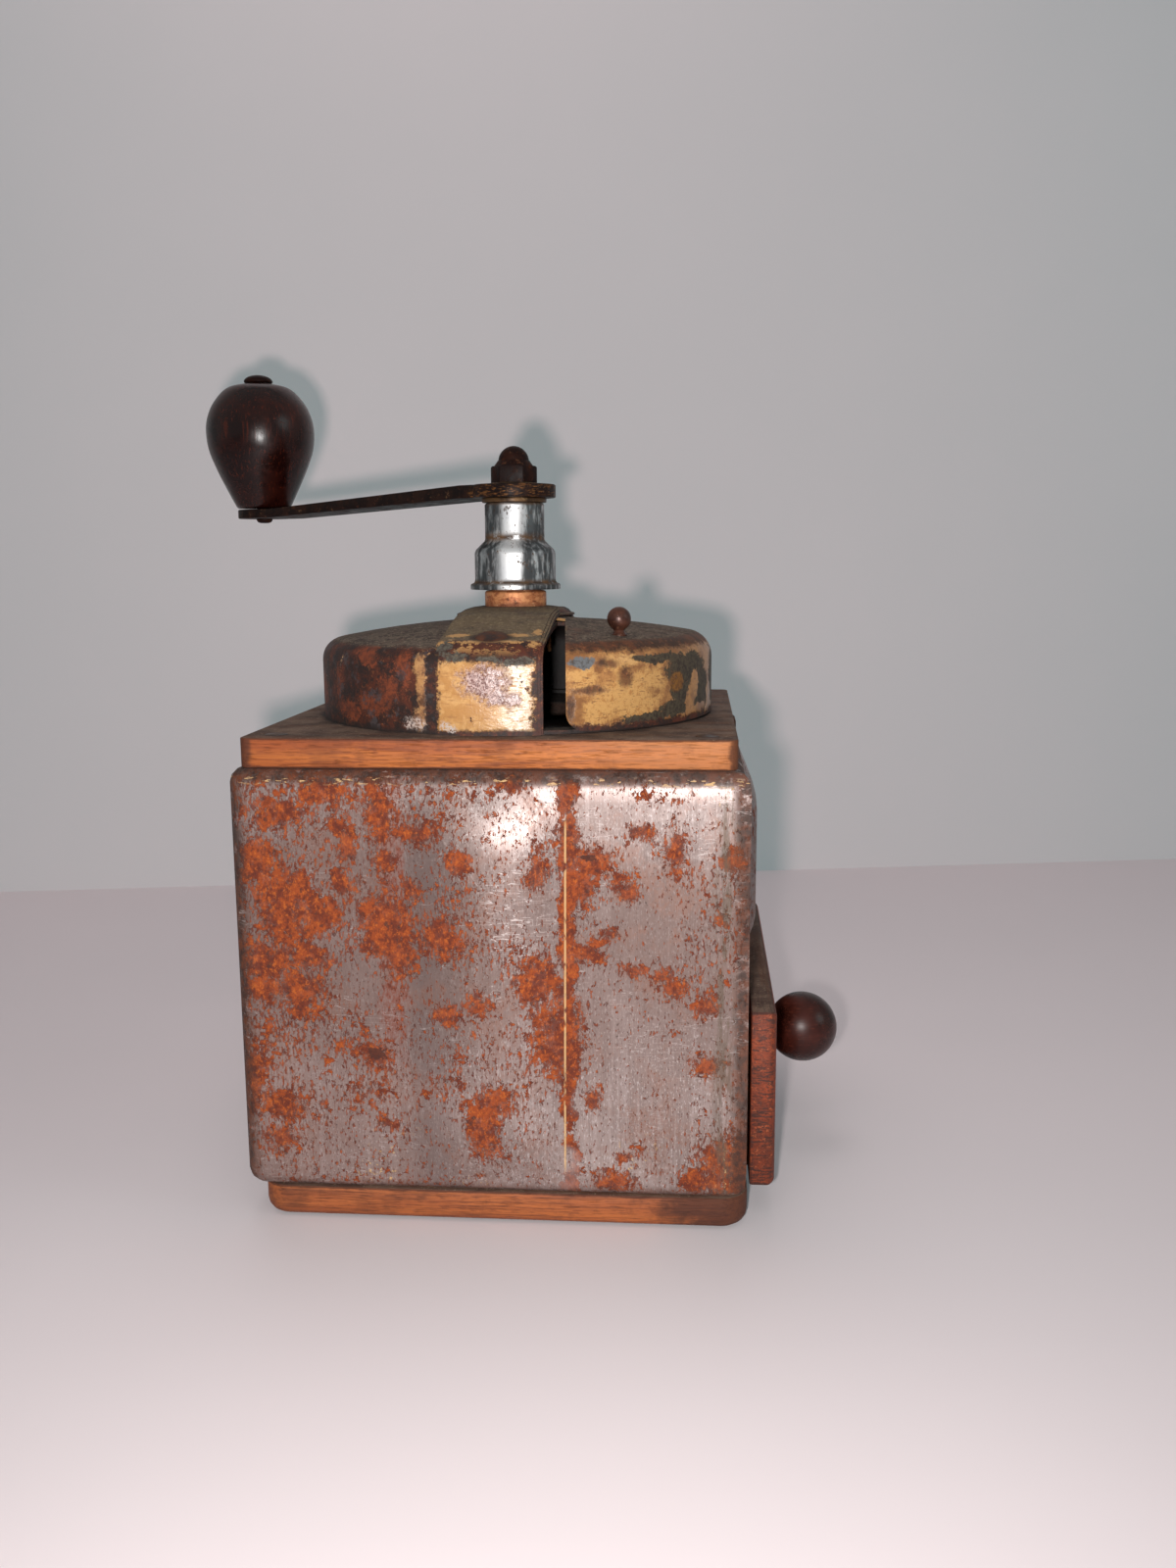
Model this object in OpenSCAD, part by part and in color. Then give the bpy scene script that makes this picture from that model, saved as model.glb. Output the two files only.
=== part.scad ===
// Box-type hand crank coffee grinder: a pressed steel case between two beech
// boards, a round steel dome with a turning shutter, a crank with a wooden
// grip, and a wooden drawer that catches the ground coffee.
// Millimetres. +Z is up, the drawer pulls out along +X, and the origin is on
// the standing surface, under the crank spindle.

/* [Case] */
// Height of the metal case between the two boards
case_h = 92.9; // [85:1:115]
// Thickness of the case sheet
sheet_t = 0.8; // [0.6:0.1:1.2]
// Radius of the upright case corners on the left
case_r = 5; // [3:0.5:9]
// Radius of the rolled top and bottom edges
roll_r = 3; // [2:0.5:4]
// Width of the flat flange behind each rolled edge
flange_w = 7; // [5:0.5:10]
// Width of the pressed bulge in the middle of each panel
bulge_w = 36; // [24:1:50]
// How far the bulge stands out on the front, left and rear panels
bulge_d = 3.6; // [1:0.2:5]
// How far the bulge stands out above the drawer
side_bulge_d = 4.5; // [1:0.25:5.5]
// Height over which a bulge swells from the case edge to its full depth
bulge_fade = 15; // [8:1:22]
// Radius of the cut lower corners beside the drawer
cut_r = 4.5; // [2:0.5:7]
// Width of the drawer-side panel's lapped edges
lap_w = 9; // [6:0.5:12]

/* [Boards] */
// Thickness of the base board
base_t = 7.6; // [6:0.2:12]
// How far the base board stays inside the case on the left
base_in = 3.3; // [1:0.1:5]
// How far the base board stays inside the case at the front and rear
base_in_y = 1; // [0.5:0.1:3]
// How far the base board passes the case on the drawer side
base_out = 0.5; // [0:0.1:1]
// Radius of the base board's upright corners
base_corner = 6; // [3:0.5:10]
// Radius of the base board's lower edges
base_edge = 3; // [1:0.5:4]
// Thickness of the top board
top_t = 6.4; // [5:0.2:10]
// How far the top board stays inside the case all round
top_in = 2.65; // [1:0.05:4]
// Radius of the top board's upright corners
top_corner = 2; // [1:0.5:5]
// Radius of the throat through the top board
throat_r = 21; // [18:0.5:23]
// Distance of each board screw from the case's outer faces
screw_in = 9; // [7:0.5:12]
// Radius of a board screw's head
screw_head_r = 2.5; // [1.5:0.1:3.5]
// Radius of a board screw's shank
screw_r = 1.3; // [0.8:0.1:1.4]

/* [Dome] */
// Outer radius of the fixed dome cover
dome_r = 46.3; // [42:0.1:49]
// Height of the dome cover above the top board
dome_h = 22.5; // [18:0.5:30]
// How much higher the crown is at its middle than at the dome's edge
crown_rise = 4.9; // [3:0.1:8]
// Radius of the dome's shoulder
shoulder_r = 5; // [3:0.5:8]
// Thickness of the dome sheet
dome_t = 0.8; // [0.6:0.1:1]
// Width of the foot flange that the dome stands on
foot_w = 4.5; // [3:0.5:7]
// Gap between the dome cover and the shutter
door_gap = 0.35; // [0.3:0.05:0.5]
// Thickness of the shutter sheet
door_t = 0.6; // [0.5:0.05:0.8]
// Angle that the shutter turns from closed to open
door_swing = 71.5; // [60:0.5:75]
// Angle by which the shutter stands open at rest
door_ajar = 5.5; // [0:0.5:30]
// Gap between the top board and the shutter's lower edge
door_lift = 0.5; // [0.3:0.1:1]
// Depth of the lip turned in along the shutter's leading edge
lip_d = 4; // [2:0.5:5]
// Radius of the shutter's rounded lower corner
door_corner = 4; // [2:0.5:6]
// Half width of the arm that joins the shutter to its pivot eye
door_arm = 3; // [2:0.25:3.5]
// Outer radius of the shutter's pivot eye
eye_r = 11.6; // [9.5:0.1:11.8]
// Distance of the shutter's finger knob from the spindle axis
door_knob_at = 38.6; // [32:0.2:40]
// Angle of the finger knob from the drawer side at rest, towards the front
door_knob_turn = 46.5; // [20:0.5:52]
// Radius of the finger knob's head
door_knob_r = 2.45; // [2:0.05:3.5]
// Height of the finger knob above the shutter
door_knob_h = 6.3; // [5:0.1:10]

/* [Bridge] */
// Width of the bridge strap over the dome
strap_w = 23; // [18:0.5:25]
// Thickness of the bridge strap
strap_t = 1.5; // [1.2:0.1:2]
// How far the strap is lifted off the crown in the middle
strap_lift = 1.3; // [1.25:0.05:1.8]
// Radius of the round boss in the middle of the strap
boss_r = 14.2; // [13.8:0.1:16]
// Radius of the rivets that hold the strap's shoulders
rivet_r = 3.7; // [2:0.1:4.5]
// Height of a rivet head
rivet_h = 1.2; // [0.6:0.1:2]
// Distance of the rivets from the spindle axis
rivet_at = 40.5; // [38:0.5:42]

/* [Neck and adjuster] */
// Outer radius of the bearing neck above the bridge
neck_r = 7.4; // [6.8:0.1:9]
// Height of the bearing neck above the bridge
neck_h = 3.7; // [2:0.1:6]
// Radius of the bearing tube that passes through the bridge
tube_r = 6.2; // [5.5:0.05:6.4]
// Length of the bearing tube below the crown
tube_drop = 7; // [5:0.5:9]
// Running gap around the bearing tube and the spindle
run_gap = 0.05; // [0.03:0.01:0.08]
// Lift gap below the adjusting bell
bell_gap = 0.3; // [0.3:0.05:0.6]
// Outer radius of the adjusting bell's flange
bell_flange_r = 10.8; // [10.4:0.1:13]
// Outer radius of the adjusting bell's skirt
bell_r = 9.7; // [9.2:0.1:10.2]
// Outer radius of the adjusting bell's upper sleeve
sleeve_r = 7.1; // [6.2:0.1:8.5]
// Height of the whole adjusting bell
bell_h = 20.3; // [18:0.5:26]
// Height of the adjusting bell's skirt and shoulder
skirt_h = 11.8; // [10.5:0.1:14]
// Thickness of the bell's wall
bell_t = 1.2; // [0.8:0.1:1.5]
// Height of the threaded ring inside the adjuster bell
ring_h = 6.4; // [4:0.2:8]

/* [Spindle and crank] */
// Radius of the spindle
spindle_r = 4; // [3.5:0.1:4.2]
// Width across the flats of the spindle's square end
square_w = 5.6; // [4.8:0.1:5.8]
// Radius of the threaded end above the square
stud_r = 2.6; // [2:0.1:2.7]
// Outer radius of the thrust washer below the crank
washer_r = 7.7; // [6:0.1:9]
// Thickness of the thrust washer
washer_t = 1; // [0.6:0.1:1.6]
// Distance from the spindle axis to the grip axis
crank_reach = 88; // [70:1:110]
// Direction of the crank at rest, seen from above, from the drawer side
crank_turn = 149.3; // [0:0.1:359]
// Radius of the round eye at the crank's hub
hub_r = 9.9; // [8.5:0.1:13]
// Thickness of the crank at its hub
hub_t = 3.1; // [2.5:0.1:5]
// Width of the crank arm where it leaves the hub
arm_w1 = 15; // [11:0.5:17]
// Width of the crank arm at its outer end
arm_w2 = 12.5; // [10:0.5:15]
// Thickness of the crank arm at its outer end
arm_t = 2.4; // [2:0.1:4]
// How far the arm drops from the hub to its outer end
arm_drop = 3.1; // [0:0.1:8]
// Radius of the round pad that carries the grip
pad_r = 7; // [6.5:0.1:9]
// Width across the flats of the cap nut
nut_w = 9.6; // [8.5:0.1:12]
// Height of the cap nut's hexagon
nut_h = 3.9; // [3:0.1:6]
// Radius of the cap nut's dome
nut_dome_r = 3.65; // [3.3:0.05:4]
// Thickness of the flat washer below the cap nut
flat_t = 0.4; // [0.3:0.1:1]

/* [Grip] */
// Largest diameter of the wooden grip
grip_d = 28.8; // [24:0.1:36]
// Height of the wooden grip
grip_h = 33; // [26:0.5:45]
// Diameter of the wooden grip at its foot
grip_foot_d = 14.6; // [11:0.1:16]
// Radius of the grip's pin
pin_r = 1.9; // [1.5:0.1:2.5]
// Gap above and below the grip on its pin
grip_gap = 0.4; // [0.3:0.05:0.8]
// Radius of the cap on the grip's pin
pin_cap_r = 3.85; // [3:0.05:5]
// Height of the cap on the grip's pin
pin_cap_h = 2.1; // [1.5:0.1:3.5]

/* [Drawer] */
// Width of the drawer front
drawer_w = 94; // [86:1:96]
// Lower edge of the drawer front above the standing surface
drawer_z = 7.3; // [2:0.1:7.5]
// Height of the drawer front
drawer_h = 40; // [34:0.5:45]
// Thickness of the drawer front
front_t = 5.5; // [4.5:0.1:9]
// Gap between the drawer front and the drawer-side panel
front_gap = 1.8; // [1.5:0.1:3]
// Chamfer round the drawer front's outer edges
front_chamfer = 1; // [0.4:0.1:1.6]
// Width of the drawer box
box_w = 77; // [66:0.5:78]
// Depth of the drawer box behind its front, round which the square case is built
box_l = 100; // [92:0.5:112]
// Gap between the drawer box and the case's rear flange
back_gap = 1; // [0.5:0.25:3]
// Thickness of the drawer's wooden sides and back
box_t = 4; // [3:0.25:5]
// Thickness of the drawer's bottom
bottom_t = 2.5; // [2:0.25:4]
// Height of the drawer box
box_h = 33; // [26:0.5:35]
// Running gap under and beside the drawer box
slide_gap = 0.3; // [0.3:0.05:0.8]
// Clear gap round the drawer box in the panel's cut-out
cut_gap = 0.8; // [0.5:0.1:1.2]
// Width of each drawer guide
guide_w = 5; // [3:0.5:6]
// Height of each drawer guide
guide_h = 9; // [5:0.5:16]
// Radius of the drawer knob
knob_r = 8.6; // [7:0.1:12]
// Length of the drawer knob's neck
knob_neck = 1.6; // [1:0.1:4]
// Radius of the drawer knob's neck
knob_neck_r = 4.6; // [3:0.1:6]
// Height of the drawer knob above the standing surface
knob_z = 27.4; // [22:0.1:34]
// Radius of the drawer knob's screw
knob_screw_r = 1.8; // [1.2:0.1:2.2]

/* [Grinding set] */
// Outer radius of the fixed burr's body
burr_body_r = 23; // [22:0.5:25]
// Outer radius of the fixed burr's flange
burr_flange_r = 34; // [33:0.5:37]
// Height of the fixed burr
burr_h = 21; // [18:0.5:25]
// Thickness of the fixed burr's flange
burr_flange_t = 3.5; // [3:0.1:5]
// Radius of the fixed burr's mouth
mouth_r = 17.5; // [17:0.1:18.5]
// Radius of the fixed burr's lower edge, to the teeth
ring_r = 16.6; // [16:0.1:17]
// Number of fine teeth round the burrs
teeth = 28; // [20:1:36]
// Depth of a fine tooth
tooth_d = 1; // [0.6:0.1:1.4]
// Grinding gap between the two burrs
grind_gap = 0.7; // [0.5:0.05:1]
// Length of the posts that carry the lower bearing bar
post_l = 25; // [22:0.5:30]
// Radius of a post
post_r = 3; // [2.5:0.1:3.5]
// Distance of each post from the spindle axis
post_at = 28.5; // [27:0.5:29.5]
// Thickness of the lower bearing bar
bar_t = 4; // [3:0.25:6]
// Width of the lower bearing bar
bar_w = 8; // [6:0.5:10]
// Radius of the lower bearing bar's boss
bar_boss_r = 8; // [6.5:0.5:10]
// Radius of the lower bearing bar's ends
bar_end_r = 5; // [4:0.25:6]
// Radius of the turning burr's core at its foot
core_r = 9.5; // [8:0.25:10.5]
// Radius of the turning burr's core at its top
core_top_r = 6.5; // [5.5:0.25:7.5]
// Depth of a coarse vane of the turning burr
vane_d = 3.6; // [2.5:0.1:4]
// Radius of the wire of the spindle spring
wire_r = 0.6; // [0.4:0.05:0.8]
// Number of turns in the spindle spring
spring_turns = 5; // [3:1:8]

/* [Hidden] */
$fn = 96;
EPS = 0.01;
guide_gap = 0.2;
case_for_depth = box_l + back_gap + roll_r + flange_w + sheet_t - front_gap;
case_for_width = box_w + 2 * (slide_gap + guide_w + guide_gap + roll_r + flange_w);
case_w = max(case_for_depth, case_for_width);
half = case_w / 2;
z0 = base_t;
z1 = base_t + case_h;
z2 = z1 + top_t;
panel_x = half - sheet_t;

// Dome: crown sphere, shoulder circle and their common tangent
crown_big = (dome_r * dome_r + crown_rise * crown_rise) / (2 * crown_rise);
crown_z = z2 + dome_h - crown_big;
shoulder_c = dome_r - shoulder_r;
shoulder_z = crown_z + sqrt(pow(crown_big - shoulder_r, 2) - pow(shoulder_c, 2));
tangent_a = atan2(shoulder_z - crown_z, shoulder_c);
boss_top = z2 + dome_h + strap_lift + strap_t + 0.1;
neck_top = boss_top + neck_h;
bell_z = neck_top + bell_gap;
bell_top = bell_z + bell_h;
stack_gap = 0.1;
washer_z = bell_top + stack_gap;
arm_z = washer_z + washer_t + stack_gap;
nut_z = arm_z + hub_t + flat_t;
pad_z = arm_z - arm_drop;
grip_z = pad_z + arm_t + grip_gap;
cap_z = grip_z + grip_h + grip_gap;
door_edge = strap_w / 2 + 0.4;
door_rest = door_ajar;
lift_end_r = dome_r - 2 * shoulder_r - 0.3;
lift_run = 16;

// Drawer
front_x = panel_x + front_gap;
box_z = z0 + slide_gap;
cut_top = box_z + box_h + cut_gap;
front_top = drawer_z + drawer_h;
side_bulge_z = front_top + 1.5;
guide_clear = 1.4;
lap_gap = 0.03;
guide_x = roll_r + flange_w + guide_gap - half;

// Grinding set
burr_z = z1 - burr_h;
inner_foot_r = ring_r - grind_gap;
seat_z = z1 + 1.5;
seat_t = 2;
bar_z = z1 - burr_flange_t - post_l;
spring_r = 5.4;

function height_at(r, off) = crown_z + sqrt(pow(crown_big + off, 2) - r * r);
function swell(q) = sin(90 * q);
function smooth(q) = let (c = max(0, min(1, q))) c * c * (3 - 2 * c);
function flip(list) = [for (i = [len(list) - 1:-1:0]) list[i]];

// Meridian of the dome at a distance off outside the cover, from the foot inwards
function shell_curve(off, r_in) = concat(
    [for (i = [0:8])
        let (a = tangent_a * i / 8)
        [shoulder_c + (shoulder_r + off) * cos(a), shoulder_z + (shoulder_r + off) * sin(a)]],
    [for (i = [1:6])
        let (r_tan = (crown_big + off) * cos(tangent_a))
        let (r = r_tan + (r_in - r_tan) * i / 6)
        [r, height_at(r, off)]]
);
function shell_outline(off_a, off_b, r_in, z_foot) = concat(
    [[dome_r + off_b, z_foot]],
    shell_curve(off_b, r_in),
    flip(shell_curve(off_a, r_in)),
    [[dome_r + off_a, z_foot]]
);

// Smooth curve through a list of points, with n steps between two of them
function knot(p, i) = p[max(0, min(len(p) - 1, i))];
function blend_at(a, b, c, d, t) = 0.5 * (2 * b + (c - a) * t
    + (2 * a - 5 * b + 4 * c - d) * t * t
    + (3 * b - a - 3 * c + d) * t * t * t);
function smooth_curve(p, n) = concat(
    [for (i = [0:len(p) - 2])
        for (k = [0:n - 1])
            blend_at(knot(p, i - 1), knot(p, i), knot(p, i + 1), knot(p, i + 2), k / n)],
    [p[len(p) - 1]]
);

// Rings of a panel with rolled edges: [inset, height, share of the bulge, kind],
// where kind 1 is mitred with the next panel and kind 2 stands clear of its corner
function low_roll(off) = concat(
    [[roll_r + flange_w, z0 + off, 0, 1]],
    [for (i = [0:3])
        let (a = i * 30)
        [off + (roll_r - off) * (1 - sin(a)), z0 + off + (roll_r - off) * (1 - cos(a)), 0, i < 3 ? 1 : 0]]
);
function high_roll(off) = concat(
    [for (i = [3:-1:0])
        let (a = i * 30)
        [off + (roll_r - off) * (1 - sin(a)), z1 - off - (roll_r - off) * (1 - cos(a)), 0, i < 3 ? 1 : 0]],
    [[roll_r + flange_w, z1 - off, 0, 1]]
);
function high_swell(off) = [for (i = [4:-1:1]) [off, z1 - roll_r - bulge_fade * i / 4, swell(i / 4)]];
function wrap_rings(off) = concat(
    low_roll(off),
    [for (i = [1:4]) [off, z0 + roll_r + bulge_fade * i / 4, swell(i / 4)]],
    high_swell(off),
    high_roll(off)
);
function side_rings(off) = concat(
    [[off, z0 + EPS, 0, 2], [off, z0 + roll_r + 0.5, 0, 2], [off, z0 + cut_r + 1.2, 0], [off, side_bulge_z, 0]],
    [for (i = [1:3]) [off, side_bulge_z + 8 * i / 3, swell(i / 3)]],
    high_swell(off),
    high_roll(off)
);
function cut_back(z) = let (d = max(0, cut_r - (z - z0))) cut_r - sqrt(max(0, cut_r * cut_r - d * d));
function bulge_at(u, d) = d * (1 - pow(2 * u / bulge_w, 2));
function bulge_u(i) = bulge_w * (i / 8 - 0.5);
function corner(cx, cy, r, a0) = [for (i = [0:4]) [cx + r * cos(a0 - 22.5 * i), cy + r * sin(a0 - 22.5 * i)]];

function wrap_ring(q) =
    let (h = half - q[0])
    let (r = max(case_r - q[0], 0.5))
    let (d = bulge_d * q[2])
    let (end_x = h - cut_back(q[1]))
    [for (p = concat(
        [[end_x, -h]],
        [for (i = [8:-1:0]) [bulge_u(i), -h - bulge_at(bulge_u(i), d)]],
        corner(r - h, r - h, r, -90),
        [for (i = [0:8]) [-h - bulge_at(bulge_u(i), d), bulge_u(i)]],
        corner(r - h, h - r, r, 180),
        [for (i = [0:8]) [bulge_u(i), h + bulge_at(bulge_u(i), d)]],
        [[end_x, h]]
    )) [p[0], p[1], q[1]]];

function side_ring(q) =
    let (h = panel_x - q[0])
    let (end_y = panel_x - lap_gap - (q[3] == 1 ? q[0] : q[3] == 2 ? cut_r : 0))
    let (d = side_bulge_d * q[2])
    [for (p = concat(
        [[h, end_y]],
        [for (i = [8:-1:0]) [h + bulge_at(bulge_u(i), d), bulge_u(i)]],
        [[h, -end_y]]
    )) [p[0], p[1], q[1]]];

// A sheet between an outer and an inner grid of points
module sheet(outer, inner) {
    m = len(outer);
    n = len(outer[0]);
    function at(s, k, j) = (s * m + k) * n + j;
    polyhedron(
        points = [for (grid = [outer, inner]) for (row = grid) for (p = row) p],
        faces = concat(
            [for (k = [0:m - 2]) for (j = [0:n - 2]) [at(0, k, j), at(0, k, j + 1), at(0, k + 1, j + 1)]],
            [for (k = [0:m - 2]) for (j = [0:n - 2]) [at(0, k, j), at(0, k + 1, j + 1), at(0, k + 1, j)]],
            [for (k = [0:m - 2]) for (j = [0:n - 2]) [at(1, k, j), at(1, k + 1, j + 1), at(1, k, j + 1)]],
            [for (k = [0:m - 2]) for (j = [0:n - 2]) [at(1, k, j), at(1, k + 1, j), at(1, k + 1, j + 1)]],
            [for (j = [0:n - 2]) [at(0, 0, j + 1), at(0, 0, j), at(1, 0, j)]],
            [for (j = [0:n - 2]) [at(0, 0, j + 1), at(1, 0, j), at(1, 0, j + 1)]],
            [for (j = [0:n - 2]) [at(0, m - 1, j), at(0, m - 1, j + 1), at(1, m - 1, j + 1)]],
            [for (j = [0:n - 2]) [at(0, m - 1, j), at(1, m - 1, j + 1), at(1, m - 1, j)]],
            [for (k = [0:m - 2]) [at(0, k, 0), at(0, k + 1, 0), at(1, k + 1, 0)]],
            [for (k = [0:m - 2]) [at(0, k, 0), at(1, k + 1, 0), at(1, k, 0)]],
            [for (k = [0:m - 2]) [at(0, k + 1, n - 1), at(0, k, n - 1), at(1, k, n - 1)]],
            [for (k = [0:m - 2]) [at(0, k + 1, n - 1), at(1, k, n - 1), at(1, k + 1, n - 1)]]
        )
    );
}

// A solid tube or bar through closed rings of points
module loft(rings) {
    m = len(rings);
    n = len(rings[0]);
    polyhedron(
        points = [for (row = rings) for (p = row) p],
        faces = concat(
            [[for (j = [0:n - 1]) j]],
            [[for (j = [n - 1:-1:0]) (m - 1) * n + j]],
            [for (k = [0:m - 2]) for (j = [0:n - 1])
                [k * n + j, (k + 1) * n + j, (k + 1) * n + (j + 1) % n]],
            [for (k = [0:m - 2]) for (j = [0:n - 1])
                [k * n + j, (k + 1) * n + (j + 1) % n, k * n + (j + 1) % n]]
        )
    );
}

module rounded_plate(x0, x1, y0, y1, r) {
    translate([x0 + r, y0]) square([x1 - x0 - 2 * r, y1 - y0]);
    translate([x0, y0 + r]) square([x1 - x0, y1 - y0 - 2 * r]);
    for (x = [x0 + r, x1 - r])
        for (y = [y0 + r, y1 - r])
            translate([x, y]) circle(r = r);
}

module at_board_screws() {
    for (x = [-1, 1])
        for (y = [-1, 1])
            translate([x * (half - screw_in), y * (half - screw_in), 0]) children();
}

module board_screw(gap) {
    translate([0, 0, z1 + 0.4]) cylinder(r = screw_r + gap, h = top_t - 0.4 + gap);
    translate([0, 0, z2 - 1.4]) cylinder(r1 = screw_r + gap, r2 = screw_head_r + gap, h = 1.4 + EPS * sign(gap));
}

// ---- Case ----

module base_board() {
    x_lo = base_in - half;
    x_hi = half + base_out;
    y_hi = half - base_in_y;
    color("peru")
        hull()
            for (x = [x_lo + base_corner, x_hi - base_corner])
                for (y = [base_corner - y_hi, y_hi - base_corner])
                    translate([x, y, 0])
                        rotate_extrude($fn = 32)
                            polygon(concat(
                                [[0, 0]],
                                [for (i = [0:4])
                                    [base_corner - base_edge * (1 - sin(22.5 * i)), base_edge * (1 - cos(22.5 * i))]],
                                [[base_corner, base_t], [0, base_t]]
                            ));
}

module top_board() {
    e = half - top_in;
    color("burlywood")
        difference() {
            translate([0, 0, z1]) linear_extrude(top_t) rounded_plate(-e, e, -e, e, top_corner);
            translate([0, 0, z1 - 1]) cylinder(r = throat_r, h = top_t + 2);
            at_board_screws() board_screw(0.02);
        }
}

module board_screws() {
    color("dimgray") at_board_screws() board_screw(0);
}

module case_wrap() {
    color("silver")
        sheet([for (q = wrap_rings(0)) wrap_ring(q)], [for (q = wrap_rings(sheet_t)) wrap_ring(q)]);
}

module case_side_panel() {
    cut_y = box_w / 2 + cut_gap;
    lap_z = z0 + cut_r + 1;
    color("lightgray")
        difference() {
            union() {
                sheet([for (q = side_rings(0)) side_ring(q)], [for (q = side_rings(sheet_t)) side_ring(q)]);
                for (s = [-1, 1])
                    translate([panel_x - lap_w, s * (panel_x - lap_gap - sheet_t / 2) - sheet_t / 2, lap_z])
                        cube([lap_w - EPS, sheet_t, z1 - roll_r - 1 - lap_z]);
            }
            translate([panel_x - 2 * sheet_t, -cut_y, z0 - 1])
                cube([4 * sheet_t, 2 * cut_y, cut_top - z0 + 1]);
        }
}

module drawer_guides() {
    color("tan")
        for (s = [-1, 1])
            translate([guide_x, s * (box_w / 2 + slide_gap + guide_w / 2) - guide_w / 2, z0])
                cube([panel_x - sheet_t - guide_clear - guide_x, guide_w, guide_h]);
}

// ---- Dome ----

// Half-plane whose edge is at distance d from the spindle axis, with its normal at angle a
module beyond(d, a) {
    rotate(a) translate([d, -3 * dome_r]) square([3 * dome_r, 6 * dome_r]);
}

// Opening of the dome in plan, all of it covered by the closed shutter
module mouth_plan() {
    intersection() {
        beyond(strap_w / 2 - 0.3, 0);
        beyond(door_edge + 1.6, -door_swing);
    }
}

module dome_cover() {
    color("saddlebrown")
        difference() {
            union() {
                difference() {
                    rotate_extrude() polygon(shell_outline(-dome_t, 0, tube_r + 0.02, z2));
                    translate([0, 0, z2 + dome_t]) linear_extrude(dome_h + 5) mouth_plan();
                }
                translate([0, 0, z2])
                    rotate_extrude()
                        translate([dome_r - foot_w, 0]) square([foot_w - dome_t, dome_t]);
            }
        }
}

function strap_lift_at(r) = strap_lift * smooth((lift_end_r - r) / lift_run);
function lifted(list) = [for (p = list) [p[0], p[1] + strap_lift_at(p[0])]];

// One layer of the strap between two distances from the cover
module strap_layer(from, to, width) {
    r_in = boss_r - 3;
    intersection() {
        rotate_extrude()
            polygon(concat(
                [[dome_r + to, z2]],
                lifted(shell_curve(to, r_in)),
                flip(lifted(shell_curve(from, r_in))),
                [[dome_r + from, z2]]
            ));
        translate([-width / 2, -2 * dome_r, z2]) cube([width, 4 * dome_r, dome_h + 10]);
    }
}

module dome_bridge() {
    top = boss_top;
    low = z2 + dome_h + strap_lift;
    rim = height_at(boss_r, 0);
    color("wheat")
        union() {
            strap_layer(0.02, strap_t * 0.55, strap_w);
            strap_layer(strap_t * 0.3, strap_t * 0.82, strap_w - 0.8);
            strap_layer(strap_t * 0.5, strap_t, strap_w - 2);
            difference() {
                rotate_extrude()
                    polygon([
                        [tube_r + 0.02, low - 0.1], [tube_r + 0.02, top], [neck_r + 1, top],
                        [neck_r + 3, top - 0.25], [boss_r - 2, top - 0.8], [boss_r - 0.8, top - 1.5],
                        [boss_r, rim + 1.6], [boss_r, height_at(boss_r, 0.02)],
                        [boss_r - 1.1, height_at(boss_r - 1.1, 0.02)], [boss_r - 1.1, rim + 1.35],
                        [boss_r - 1.8, low - 0.35]
                    ]);
                rotate([0, 0, -62])
                    rotate_extrude(angle = 124)
                        translate([boss_r - 1.4, z2]) square([3, rim + 1.25 - z2]);
            }
        }
}

module bridge_rivets() {
    top = height_at(rivet_at, strap_t);
    lean = asin(rivet_at / crown_big) + 6;
    color("darkslategray")
        for (s = [-1, 1])
            intersection() {
                translate([0, s * rivet_at, top - 0.35])
                    rotate([-s * lean, 0, 0])
                        rotate_extrude()
                            polygon(concat(
                                [[0, -1.2], [rivet_r, -1.2]],
                                [for (i = [0:6]) [rivet_r * cos(15 * i), rivet_h * sin(15 * i)]]
                            ));
                difference() {
                    translate([-10, s * rivet_at - 10, z2]) cube([20, 20, dome_h + 10]);
                    rotate_extrude() polygon(concat(shell_curve(strap_t + 0.02, 25), [[25, z2], [dome_r + strap_t + 0.02, z2]]));
                }
            }
}

// Shutter in plan, in its closed place
module shutter_plan() {
    difference() {
        union() {
            intersection() {
                beyond(door_edge, 0);
                beyond(door_edge, -door_swing);
                circle(r = dome_r + 3);
            }
            rotate(-door_swing / 2) translate([0, -door_arm]) square([door_edge + 12, 2 * door_arm]);
            circle(r = eye_r);
        }
        circle(r = tube_r + 0.08);
    }
}

module dome_door() {
    foot = z2 + door_lift;
    lead = sqrt(pow(dome_r, 2) - pow(door_edge, 2));
    color("palegoldenrod")
        rotate([0, 0, door_rest])
            difference() {
                union() {
                    intersection() {
                        rotate_extrude()
                            polygon(shell_outline(door_gap, door_gap + door_t, tube_r + 0.08, foot));
                        translate([0, 0, z2]) linear_extrude(dome_h + 5) shutter_plan();
                    }
                    intersection() {
                        rotate_extrude()
                            polygon(shell_outline(-lip_d, door_gap + 0.1, dome_r - 4.5, foot));
                        translate([door_edge, -dome_r - 5, z2]) cube([door_t, dome_r * 0.6, dome_h + 5]);
                    }
                }
                translate([door_edge, -lead, foot]) rotate([90, 0, 0])
                    translate([0, 0, -lip_d - 5])
                        linear_extrude(lip_d + 12)
                            difference() {
                                translate([-1, -1]) square(door_corner + 1);
                                translate([door_corner, door_corner]) circle(r = door_corner);
                            }
            }
}

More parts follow.
